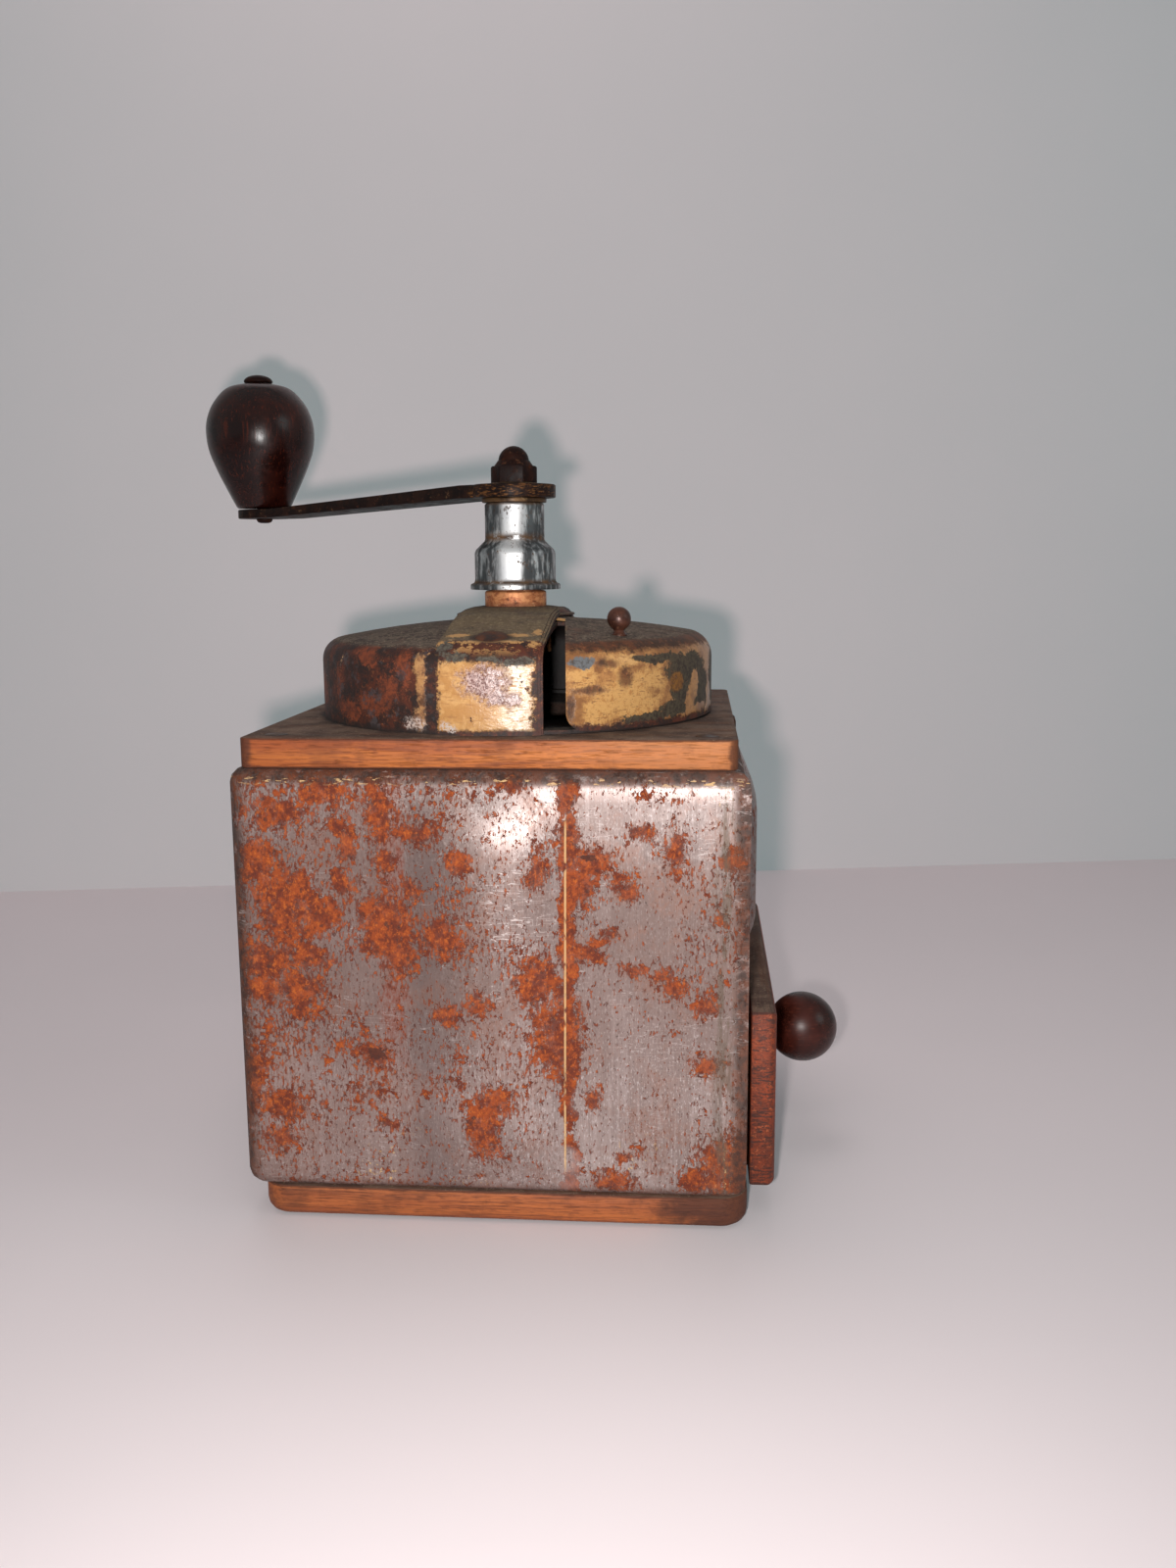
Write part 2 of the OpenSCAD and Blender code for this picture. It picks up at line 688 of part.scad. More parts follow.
module door_knob() {
    top = height_at(door_knob_at, door_gap + door_t);
    color("sienna")
        rotate([0, 0, -door_knob_turn])
            translate([door_knob_at, 0, top - 0.2])
                difference() {
                    rotate_extrude()
                        polygon(concat(
                            [[0, 0], [door_knob_r * 0.72, 0]],
                            smooth_curve([
                                [door_knob_r * 0.68, door_knob_h * 0.2], [door_knob_r * 0.72, door_knob_h * 0.42],
                                [door_knob_r, door_knob_h * 0.68], [door_knob_r * 0.8, door_knob_h * 0.92],
                                [0, door_knob_h]
                            ], 4)
                        ));
                    translate([-door_knob_at, 0, 0.2 - top])
                        rotate_extrude()
                            polygon(concat(
                                shell_curve(door_gap + door_t + 0.02, door_knob_at - 6),
                                [[door_knob_at - 6, z2], [dome_r + 2, z2]]
                            ));
                }
}

// ---- Neck, adjuster and spindle ----

module neck_bush() {
    under = height_at(tube_r, -dome_t) - 0.3;
    color("chocolate")
        rotate_extrude()
            polygon([
                [spindle_r + run_gap, under - tube_drop], [tube_r + 2.2, under - tube_drop],
                [tube_r + 2.2, under], [tube_r, under], [tube_r, boss_top], [neck_r, boss_top],
                [neck_r, neck_top - 0.4], [neck_r - 0.4, neck_top], [tube_r - 0.2, neck_top],
                [tube_r - 0.2, neck_top + 7.4], [tube_r - 0.7, neck_top + 7.9], [spindle_r + run_gap, neck_top + 7.9]
            ]);
}

module adjuster_bell() {
    z = bell_z;
    s = z + skirt_h;
    color("gainsboro")
        rotate_extrude()
            polygon([
                [bell_flange_r, z], [bell_flange_r, z + 1.1], [bell_flange_r - 0.2, z + 1.3],
                [bell_r + 0.35, z + 1.5], [bell_r + 0.1, z + 1.8], [bell_r, z + 2.3],
                [bell_r, s - 3.4], [bell_r - 0.1, s - 2.9], [bell_r - 0.45, s - 2.3], [bell_r - 1, s - 1.8],
                [sleeve_r + 0.5, s - 0.7], [sleeve_r + 0.15, s - 0.35], [sleeve_r, s + 0.1],
                [sleeve_r, bell_top - 0.4], [sleeve_r - 0.4, bell_top], [spindle_r + 0.35, bell_top],
                [spindle_r + 0.35, bell_top - bell_t], [sleeve_r - bell_t, bell_top - bell_t],
                [sleeve_r - bell_t, s - 1.6], [bell_r - bell_t, s - 3.4], [bell_r - bell_t, z]
            ]);
}

module adjuster_nut() {
    low = bell_z + 0.5;
    color("darkgoldenrod")
        rotate_extrude()
            polygon([
                [tube_r - 0.2 + run_gap, low], [bell_r - bell_t - 0.02, low],
                [bell_r - bell_t - 0.02, low + ring_h], [tube_r - 0.2 + run_gap, low + ring_h]
            ]);
}

module crank_washer() {
    color("sienna")
        translate([0, 0, washer_z])
            difference() {
                cylinder(r = washer_r, h = washer_t);
                translate([0, 0, -1]) cylinder(r = spindle_r + run_gap, h = washer_t + 2);
            }
}

module spindle() {
    foot = bar_z - 4;
    color("slategray") {
        translate([0, 0, foot]) cylinder(r = spindle_r, h = washer_z + washer_t - foot);
        translate([0, 0, seat_z]) cylinder(r = spring_r + wire_r + 0.8, h = seat_t);
        translate([-square_w / 2, -square_w / 2, washer_z + washer_t - EPS])
            cube([square_w, square_w, stack_gap + hub_t - 0.2]);
        translate([0, 0, washer_z]) cylinder(r = stud_r, h = nut_z + nut_h + nut_dome_r * 0.4 - washer_z);
    }
}

module crank_arm() {
    knee = hub_r + 1.2;
    toe = crank_reach - pad_r - 2;
    tip = crank_reach + pad_r + 1;
    color("rosybrown")
        rotate([0, 0, crank_turn])
            difference() {
                intersection() {
                    translate([0, 0, pad_z - 1])
                        linear_extrude(arm_drop + hub_t + 2)
                            union() {
                                circle(r = hub_r);
                                translate([crank_reach, 0]) circle(r = pad_r);
                                polygon([
                                    [0, -arm_w1 / 2], [crank_reach, -arm_w2 / 2],
                                    [crank_reach, arm_w2 / 2], [0, arm_w1 / 2]
                                ]);
                            }
                    translate([0, hub_r + 5, 0])
                        rotate([90, 0, 0])
                            linear_extrude(2 * hub_r + 10)
                                polygon([
                                    [-hub_r - 1, arm_z], [knee, arm_z], [toe, pad_z], [tip, pad_z],
                                    [tip, pad_z + arm_t], [toe, pad_z + arm_t], [knee, arm_z + hub_t],
                                    [-hub_r - 1, arm_z + hub_t]
                                ]);
                }
                rotate([0, 0, -crank_turn])
                    translate([-square_w / 2 - 0.03, -square_w / 2 - 0.03, arm_z - 1])
                        cube([square_w + 0.06, square_w + 0.06, hub_t + 2]);
                translate([crank_reach, 0, pad_z - 1]) cylinder(r = pin_r + 0.02, h = arm_t + 2);
            }
}

module nut_washer() {
    color("darkgray")
        translate([0, 0, arm_z + hub_t])
            difference() {
                cylinder(r = nut_w / 2 + 0.9, h = flat_t);
                translate([0, 0, -1]) cylinder(r = stud_r + 0.02, h = flat_t + 2);
            }
}

module cap_nut() {
    across = nut_w / cos(30);
    dome_z = nut_z + nut_h + 1.3;
    color("dimgray")
        difference() {
            union() {
                intersection() {
                    translate([0, 0, nut_z]) cylinder(d = across, h = nut_h, $fn = 6);
                    translate([0, 0, nut_z]) cylinder(r1 = across / 2 + 4, r2 = across / 2 - 0.35, h = nut_h);
                }
                translate([0, 0, nut_z + nut_h - EPS])
                    cylinder(r1 = nut_w / 2 - 0.1, r2 = nut_dome_r + 0.1, h = 1.3 + EPS);
                intersection() {
                    translate([0, 0, dome_z - 0.25]) sphere(r = nut_dome_r);
                    translate([0, 0, dome_z - 0.3]) cylinder(r = nut_dome_r + 1, h = nut_dome_r + 2);
                }
            }
            translate([0, 0, nut_z - 1]) cylinder(r = stud_r + 0.02, h = nut_h + nut_dome_r * 0.4 + 1.1);
        }
}

// ---- Grip ----

module at_grip() {
    rotate([0, 0, crank_turn]) translate([crank_reach, 0, 0]) children();
}

module handle_pin() {
    color("saddlebrown")
        at_grip() {
            translate([0, 0, pad_z - 0.6]) cylinder(r = pin_r, h = cap_z - pad_z + 1);
            translate([0, 0, pad_z - 1.2])
                rotate_extrude()
                    polygon([
                        [0, 0], [pin_r * 0.6, 0.05], [pin_r * 0.95, 0.3], [pin_r + 0.25, 0.8],
                        [pin_r + 0.25, 1.18], [0, 1.18]
                    ]);
            translate([0, 0, cap_z])
                rotate_extrude()
                    polygon(concat(
                        [[0, 0], [pin_cap_r * 0.94, 0]],
                        [for (i = [0:6]) [pin_cap_r * cos(15 * i), 0.3 + (pin_cap_h - 0.3) * sin(15 * i)]]
                    ));
        }
}

module handle_knob() {
    r = grip_d / 2;
    f = grip_foot_d / 2;
    color("maroon")
        at_grip()
            translate([0, 0, grip_z])
                difference() {
                    rotate_extrude()
                        polygon(concat(
                            [[0, 0], [f - 0.4, 0]],
                            smooth_curve([
                                [f, 0.4], [f + (r - f) * 0.25, grip_h * 0.12], [f + (r - f) * 0.64, grip_h * 0.3],
                                [f + (r - f) * 0.94, grip_h * 0.48], [r, grip_h * 0.65],
                                [f + (r - f) * 0.83, grip_h * 0.79], [f + (r - f) * 0.5, grip_h * 0.9],
                                [f + (r - f) * 0.12, grip_h * 0.97], [pin_cap_r + 0.5, grip_h]
                            ], 4),
                            [[0, grip_h]]
                        ));
                    translate([0, 0, -1]) cylinder(r = pin_r + run_gap, h = grip_h + 2);
                }
}

// ---- Drawer ----

module drawer_front() {
    c = front_chamfer;
    w = drawer_w / 2;
    color("chocolate")
        difference() {
            intersection() {
                translate([front_x, -w, drawer_z]) cube([front_t, drawer_w, drawer_h]);
                rotate([0, 0, 0])
                    linear_extrude(front_top + 1)
                        polygon([
                            [front_x - 1, -w], [front_x + front_t - c, -w], [front_x + front_t, c - w],
                            [front_x + front_t, w - c], [front_x + front_t - c, w], [front_x - 1, w]
                        ]);
                translate([0, w + 1, 0])
                    rotate([90, 0, 0])
                        linear_extrude(drawer_w + 2)
                            polygon([
                                [front_x - 1, drawer_z], [front_x + front_t - c, drawer_z],
                                [front_x + front_t, drawer_z + c], [front_x + front_t, front_top - c],
                                [front_x + front_t - c, front_top], [front_x - 1, front_top]
                            ]);
            }
            translate([front_x - 1, 0, knob_z])
                rotate([0, 90, 0]) cylinder(r = knob_screw_r + 0.02, h = front_t + 2);
        }
}

module drawer_sides() {
    color("burlywood")
        for (s = [-1, 1])
            translate([front_x - box_l, s * (box_w / 2 - box_t / 2) - box_t / 2, box_z])
                cube([box_l, box_t, box_h]);
}

module drawer_back() {
    color("burlywood")
        translate([front_x - box_l, box_t - box_w / 2, box_z])
            cube([box_t, box_w - 2 * box_t, box_h]);
}

module drawer_bottom() {
    color("wheat")
        translate([front_x - box_l + box_t, box_t - box_w / 2, box_z])
            cube([box_l - box_t, box_w - 2 * box_t, bottom_t]);
}

module drawer_knob() {
    face = front_x + front_t;
    reach = sqrt(knob_r * knob_r - pow(knob_neck_r - 0.6, 2));
    color("brown")
        translate([face, 0, knob_z])
            rotate([0, 90, 0])
                difference() {
                    union() {
                        translate([0, 0, knob_neck + reach]) sphere(r = knob_r);
                        cylinder(r1 = knob_neck_r, r2 = knob_neck_r - 0.6, h = knob_neck + 0.3);
                    }
                    translate([0, 0, -1]) cylinder(r = knob_screw_r + 0.02, h = 11);
                    translate([0, 0, -2 * knob_r]) cylinder(r = knob_r + 1, h = 2 * knob_r);
                }
}

module drawer_knob_screw() {
    color("gray")
        translate([front_x, 0, knob_z])
            rotate([0, 90, 0]) {
                cylinder(r = knob_screw_r, h = front_t + 9);
                translate([0, 0, -1.4]) cylinder(r1 = knob_screw_r + 1.2, r2 = knob_screw_r + 1.8, h = 1.4);
            }
}

// ---- Grinding set ----

// Ring of teeth in plan: n saw teeth between r - d and r
module tooth_ring(r, d, n) {
    polygon([for (i = [0:n - 1]) for (k = [0:1])
        let (a = 360 * (i + 0.62 * k) / n)
        let (q = r - d * k)
        [q * cos(a), q * sin(a)]]);
}

module at_burr_screws() {
    for (a = [45:90:315])
        rotate([0, 0, a]) translate([(burr_body_r + burr_flange_r) / 2, 0, 0]) children();
}

module outer_burr() {
    low_h = burr_h * 0.45;
    color("dimgray")
        difference() {
            union() {
                translate([0, 0, burr_z]) cylinder(r = burr_body_r, h = burr_h);
                translate([0, 0, z1 - burr_flange_t]) cylinder(r = burr_flange_r, h = burr_flange_t);
            }
            translate([0, 0, burr_z - EPS])
                linear_extrude(low_h + 0.1) tooth_ring(ring_r + tooth_d, tooth_d, teeth);
            translate([0, 0, burr_z + low_h])
                cylinder(r1 = ring_r + tooth_d, r2 = mouth_r, h = burr_h - low_h + EPS);
            at_burr_screws() translate([0, 0, z1 - burr_flange_t - 1]) cylinder(r = 1.52, h = burr_flange_t + 2);
        }
}

module burr_screws() {
    color("gray")
        at_burr_screws() {
            translate([0, 0, z1 - burr_flange_t]) cylinder(r = 1.5, h = burr_flange_t);
            translate([0, 0, z1 - burr_flange_t - 1.8]) cylinder(r = 2.8, h = 1.8);
        }
}

module inner_burr() {
    low_h = burr_h * 0.4;
    top_h = burr_h - low_h - 1;
    color("darkslategray")
        difference() {
            union() {
                translate([0, 0, burr_z + 0.5])
                    linear_extrude(low_h, twist = -10, slices = 3)
                        tooth_ring(inner_foot_r, tooth_d, teeth);
                translate([0, 0, burr_z + 0.5 + low_h])
                    linear_extrude(top_h, twist = -70, scale = 0.62, slices = 10)
                        tooth_ring(inner_foot_r - tooth_d, vane_d, 7);
                translate([0, 0, burr_z + 0.5 + low_h - EPS]) cylinder(r1 = core_r, r2 = core_top_r, h = top_h + 0.8);
            }
            translate([0, 0, burr_z - 1]) cylinder(r = spindle_r + 0.02, h = burr_h + 3);
        }
}

module lower_bar() {
    top = z1 - burr_flange_t;
    color("dimgray")
        difference() {
            union() {
                for (s = [-1, 1])
                    translate([0, s * post_at, bar_z]) cylinder(r = post_r, h = top - bar_z);
                for (s = [-1, 1])
                    translate([0, s * post_at, bar_z]) cylinder(r = bar_end_r, h = bar_t);
                translate([-bar_w / 2, -post_at, bar_z]) cube([bar_w, 2 * post_at, bar_t]);
                translate([0, 0, bar_z]) cylinder(r = bar_boss_r, h = bar_t);
            }
            translate([0, 0, bar_z - 1]) cylinder(r = spindle_r + run_gap, h = bar_t + 2);
        }
}

module spindle_spring() {
    low = seat_z + seat_t + wire_r + 0.05;
    high = height_at(tube_r, -dome_t) - 0.3 - tube_drop - wire_r - 0.05;
    steps = 12;
    n = spring_turns * steps;
    function rise(i) = let (q = i / n) low + (high - low) * max(0, min(1, (q * spring_turns - 0.5) / (spring_turns - 1)));
    color("silver")
        loft([for (i = [0:n])
            let (a = -360 * i / steps)
            [for (k = [0:7])
                let (b = 45 * k)
                let (q = spring_r + wire_r * cos(b))
                [q * cos(a), q * sin(a), rise(i) + wire_r * sin(b)]]]);
}

base_board();
top_board();
board_screws();
case_wrap();
case_side_panel();
drawer_guides();
dome_cover();
dome_bridge();
bridge_rivets();
dome_door();
door_knob();
neck_bush();
adjuster_bell();
adjuster_nut();
crank_washer();
spindle();
crank_arm();
nut_washer();
cap_nut();
handle_pin();
handle_knob();
drawer_front();
drawer_sides();
drawer_back();
drawer_bottom();
drawer_knob();
drawer_knob_screw();
outer_burr();
burr_screws();
inner_burr();
lower_bar();
spindle_spring();
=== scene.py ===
"""Old hand crank coffee grinder: looks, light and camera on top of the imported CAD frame. Metres."""
import math
import bmesh
import bpy
from mathutils import Matrix, Vector


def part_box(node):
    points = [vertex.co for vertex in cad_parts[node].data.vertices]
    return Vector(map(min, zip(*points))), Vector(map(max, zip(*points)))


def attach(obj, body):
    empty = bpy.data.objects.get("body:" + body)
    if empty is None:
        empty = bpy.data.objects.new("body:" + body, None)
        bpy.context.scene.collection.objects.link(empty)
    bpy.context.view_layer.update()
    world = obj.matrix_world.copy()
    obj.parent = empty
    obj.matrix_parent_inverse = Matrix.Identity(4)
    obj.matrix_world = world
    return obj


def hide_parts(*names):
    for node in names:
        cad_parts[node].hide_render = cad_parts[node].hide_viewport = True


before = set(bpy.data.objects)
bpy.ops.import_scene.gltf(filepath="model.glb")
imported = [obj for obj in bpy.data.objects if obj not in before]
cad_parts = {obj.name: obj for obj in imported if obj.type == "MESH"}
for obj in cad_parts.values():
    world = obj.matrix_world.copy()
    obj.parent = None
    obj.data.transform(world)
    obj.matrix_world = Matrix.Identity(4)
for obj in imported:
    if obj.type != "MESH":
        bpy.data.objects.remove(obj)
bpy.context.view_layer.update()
DOME_R = 46.3  # radius of the dome's rim, mm


# ---------------------------------------------------------------- small helpers

def rgb(r, g, b):
    """A colour written as 0-255 screen values, as the linear triple that a socket takes."""
    def one(v):
        v /= 255
        return v / 12.92 if v <= 0.04045 else ((v + 0.055) / 1.055) ** 2.4
    return (one(r), one(g), one(b))


class Look:
    """A procedural material. Sizes and places are in millimetres of the object's own frame."""

    def __init__(self, name, rough=0.6, spec=0.5):
        self.mat = bpy.data.materials.new(name)
        self.mat.use_nodes = True
        self.tree = self.mat.node_tree
        self.tree.nodes.clear()
        self.out = self.new("ShaderNodeOutputMaterial")
        self.bsdf = self.new("ShaderNodeBsdfPrincipled")
        self.link(self.bsdf.outputs[0], self.out.inputs[0])
        self.set("Roughness", rough)
        self.set("Specular IOR Level", spec)
        coords = self.new("ShaderNodeTexCoord")
        self.mm = self.vec("SCALE", coords.outputs["Object"], k=1000)
        self.x, self.y, self.z = self.split(self.mm)
        self.nx, self.ny, self.nz = self.split(coords.outputs["Normal"])

    def new(self, kind):
        return self.tree.nodes.new(kind)

    def link(self, a, b):
        self.tree.links.new(a, b)

    def split(self, vector):
        n = self.new("ShaderNodeSeparateXYZ")
        self.link(vector, n.inputs[0])
        return n.outputs

    def feed(self, sock, v):
        """Links sock to another socket, or gives it a constant."""
        if isinstance(v, bpy.types.NodeSocket):
            self.link(v, sock)
        elif isinstance(v, (tuple, list)):
            sock.default_value = tuple(v) + (1,) if sock.type == "RGBA" else tuple(v)
        else:
            sock.default_value = v

    def set(self, name, v):
        self.feed(self.bsdf.inputs[name], v)

    def m(self, op, a, b=0.0, c=0.0):
        n = self.new("ShaderNodeMath")
        n.operation = op
        for i, v in enumerate((a, b, c)):
            self.feed(n.inputs[i], v)
        return n.outputs[0]

    def vec(self, op, a, b=(0, 0, 0), c=(0, 0, 0), k=1.0):
        n = self.new("ShaderNodeVectorMath")
        n.operation = op
        self.feed(n.inputs[0], a)
        if op == "SCALE":
            self.feed(n.inputs["Scale"], k)
        elif op != "LENGTH":
            self.feed(n.inputs[1], b)
            if op == "MULTIPLY_ADD":
                self.feed(n.inputs[2], c)
        return n.outputs["Value"] if op == "LENGTH" else n.outputs[0]

    def noise(self, size, detail=3.0, rough=0.55, seed=0.0, at=None, colour=False):
        """Noise whose largest blotches are about size mm across, one number or one for each axis."""
        sizes = size if isinstance(size, tuple) else (size,) * 3
        shift = (seed, seed * 1.7, -seed * 2.3)
        v = self.vec("MULTIPLY_ADD", at or self.mm, tuple(1 / one for one in sizes), shift)
        n = self.new("ShaderNodeTexNoise")
        self.link(v, n.inputs["Vector"])
        n.inputs["Scale"].default_value = 1
        n.inputs["Detail"].default_value = detail
        n.inputs["Roughness"].default_value = rough
        return n.outputs["Color"] if colour else n.outputs["Fac"]

    def warped(self, amount, size, seed=5.0, detail=2.0):
        """The position in mm, pushed about by up to half of amount."""
        push = self.vec("SUBTRACT", self.noise(size, detail, 0.6, seed, colour=True), (0.5, 0.5, 0.5))
        return self.vec("MULTIPLY_ADD", push, (amount,) * 3, self.mm)

    def centred(self, v, amount):
        """Noise round zero, up to half of amount each way."""
        return self.m("MULTIPLY", self.m("SUBTRACT", v, 0.5), amount)

    def off(self, coord, at):
        """Distance from the plane coord = at."""
        return self.m("ABSOLUTE", self.m("SUBTRACT", coord, at))

    def ramp(self, v, lo, hi, a=0.0, b=1.0):
        """a below lo, b above hi, smooth between. lo may be above hi."""
        if lo > hi:
            lo, hi, a, b = hi, lo, b, a
        n = self.new("ShaderNodeMapRange")
        n.interpolation_type = "SMOOTHSTEP"
        self.feed(n.inputs["Value"], v)
        for k, w in (("From Min", lo), ("From Max", hi), ("To Min", a), ("To Max", b)):
            n.inputs[k].default_value = w
        return n.outputs["Result"]

    def near(self, coord, at, width):
        """1 on the plane coord = at, falling to 0 at width mm from it."""
        return self.ramp(self.off(coord, at), width, 0.0)

    def mix(self, f, a, b):
        n = self.new("ShaderNodeMix")
        n.data_type = "RGBA"
        self.feed(n.inputs[0], f)
        self.feed(n.inputs[6], a)
        self.feed(n.inputs[7], b)
        return n.outputs[2]

    def blend(self, f, a, b):
        n = self.new("ShaderNodeMix")
        self.feed(n.inputs[0], f)
        self.feed(n.inputs[2], a)
        self.feed(n.inputs[3], b)
        return n.outputs[0]

    def mul(self, *v):
        r = v[0]
        for w in v[1:]:
            r = self.m("MULTIPLY", r, w)
        return r

    def most(self, *v):
        r = v[0]
        for w in v[1:]:
            r = self.m("MAXIMUM", r, w)
        return r

    def spots(self, places, at, axes="xz"):
        """Distance to the nearest of the ovals (centre, centre, radius, radius), 1 on its rim."""
        best = None
        for u, v, ru, rv in places:
            scale = {"xz": (1 / ru, 0, 1 / rv), "xy": (1 / ru, 1 / rv, 0)}[axes]
            shift = {"xz": (-u / ru, 0, -v / rv), "xy": (-u / ru, -v / rv, 0)}[axes]
            d = self.vec("LENGTH", self.vec("MULTIPLY_ADD", at, scale, shift))
            best = d if best is None else self.m("SMOOTH_MIN", best, d, 0.2)
        return best

    def rim(self, amount, size, seed):
        """(mm round the dome's rim from the front, 0, height), pushed about by noise."""
        a = self.m("ARCTAN2", self.x, self.m("MULTIPLY", self.y, -1.0))
        n = self.new("ShaderNodeCombineXYZ")
        self.link(self.m("MULTIPLY", a, DOME_R), n.inputs[0])
        self.link(self.z, n.inputs[2])
        push = self.vec("SUBTRACT", self.noise(size, 3, 0.6, seed, colour=True), (0.5, 0.5, 0.5))
        return self.vec("MULTIPLY_ADD", push, (amount, 0, amount), n.outputs[0])

    def swapped(self):
        """(0, 0, y), which with (x, 0, 0) makes a plan of the top."""
        n = self.new("ShaderNodeCombineXYZ")
        self.link(self.y, n.inputs[2])
        return n.outputs[0]

    def ragged(self, places, at, fine, soft=0.12, fray=1.2):
        """1 inside the ovals, with edges that the noise fine frays."""
        d = self.m("ADD", self.spots(places, at), self.centred(fine, fray))
        return self.ramp(d, 1 + soft, 1 - soft)

    def inside(self):
        """1 on surfaces that face the spindle axis or down."""
        d = self.m("ADD", self.m("MULTIPLY", self.x, self.nx), self.m("MULTIPLY", self.y, self.ny))
        return self.most(self.ramp(d, 0.0, -8.0), self.ramp(self.nz, -0.05, -0.3))

    def bump(self, height, depth, strength=1.0, below=None):
        """Relief: height 0-1 stands depth mm proud."""
        n = self.new("ShaderNodeBump")
        n.inputs["Strength"].default_value = strength
        n.inputs["Distance"].default_value = depth / 1000
        self.feed(n.inputs["Height"], height)
        if below is not None:
            self.link(below, n.inputs["Normal"])
        return n.outputs[0]


def smooth_group(angle):
    """Modifier nodes that shade smooth and keep edges sharper than angle degrees."""
    group = bpy.data.node_groups.new("soft_shading_%d" % angle, "GeometryNodeTree")
    group.interface.new_socket("Geometry", in_out="INPUT", socket_type="NodeSocketGeometry")
    group.interface.new_socket("Geometry", in_out="OUTPUT", socket_type="NodeSocketGeometry")
    start = group.nodes.new("NodeGroupInput")
    end = group.nodes.new("NodeGroupOutput")
    faces = group.nodes.new("GeometryNodeSetShadeSmooth")
    edges = group.nodes.new("GeometryNodeSetShadeSmooth")
    edges.domain = "EDGE"
    edge_angle = group.nodes.new("GeometryNodeInputMeshEdgeAngle")
    sharp = group.nodes.new("FunctionNodeCompare")
    sharp.data_type = "FLOAT"
    sharp.operation = "GREATER_THAN"
    sharp.inputs[1].default_value = math.radians(angle)
    group.links.new(edge_angle.outputs[0], sharp.inputs[0])
    group.links.new(start.outputs[0], faces.inputs[0])
    group.links.new(faces.outputs[0], edges.inputs[0])
    group.links.new(sharp.outputs[0], edges.inputs["Selection"])
    edges.inputs["Shade Smooth"].default_value = False
    group.links.new(edges.outputs[0], end.inputs[0])
    return group


SHARP_OVER = {"rounded": 40, "plain": 50}  # degrees, with and without a bevel
SMOOTH = {kind: smooth_group(angle) for kind, angle in SHARP_OVER.items()}


def finish_surface(obj, bevel=0.0):
    """Welds the tessellation, rounds the edges by bevel mm and shades smooth."""
    weld = obj.modifiers.new("weld", "WELD")
    weld.merge_threshold = 2e-6
    if bevel:
        planar = obj.modifiers.new("planar", "DECIMATE")
        planar.decimate_type = "DISSOLVE"
        planar.angle_limit = math.radians(1)
        edges = obj.modifiers.new("edges", "BEVEL")
        edges.width = bevel / 1000
        edges.segments = 2
        edges.limit_method = "ANGLE"
        edges.angle_limit = math.radians(38)
        edges.harden_normals = False
    shading = obj.modifiers.new("shading", "NODES")
    shading.node_group = SMOOTH["rounded" if bevel else "plain"]


# ---------------------------------------------------------------- wood

def board_dust(k, col, amount, fine, broad, seed):
    """Grey-brown dust and old coffee on a board's upper face."""
    up = k.ramp(k.nz, 0.55, 0.9)
    grey = k.mix(k.ramp(k.noise(9, 4, 0.65, seed + 13), 0.38, 0.62), rgb(74, 54, 45), rgb(112, 90, 76))
    grey = k.mix(k.ramp(fine, 0.48, 0.70, 0, 0.5), grey, rgb(48, 34, 29))
    grey = k.mix(k.ramp(broad, 0.50, 0.64, 0, 0.45), grey, rgb(104, 66, 44))
    grey = k.mix(k.ramp(k.noise(0.8, 3, 0.8, seed + 19), 0.60, 0.66, 0, 0.8), grey, rgb(150, 130, 108))
    return k.mix(k.mul(up, amount), col, grey)


def under_dome(k, col, seed):
    """Coffee-black bore under the dome, and a dark ring round the dome's foot."""
    from_axis = k.vec("LENGTH", k.vec("MULTIPLY", k.mm, (1, 1, 0)))
    r = k.m("ADD", from_axis, k.centred(k.noise(5, 3, 0.6, seed + 17), 4))
    ring = k.mul(k.ramp(r, DOME_R + 1.3, DOME_R - 0.1), k.ramp(k.nz, 0.55, 0.9), 0.9)
    col = k.mix(ring, col, rgb(26, 18, 15))
    return k.mix(k.mul(k.ramp(r, 27, 25), 0.95), col, rgb(24, 17, 14))


def end_grain(k, col, dirt, seed):
    """Short dark dashes of the growth rings across the ends of a board."""
    end = k.ramp(k.m("ABSOLUTE", k.ny), 0.5, 0.8)
    dash = k.ramp(k.noise((2.2, 30, 0.50), 2, 0.6, seed + 21), 0.50, 0.56)
    row = k.ramp(k.noise((9, 30, 1.5), 2, 0.6, seed + 23), 0.38, 0.50)
    pale = k.ramp(k.noise((1.0, 1.0, 0.8), 3, 0.75, seed + 24), 0.58, 0.66)
    col = k.mix(k.mul(end, dash, row, 0.75), col, dirt)
    return k.mix(k.mul(end, pale, 0.6), col, rgb(190, 100, 56))


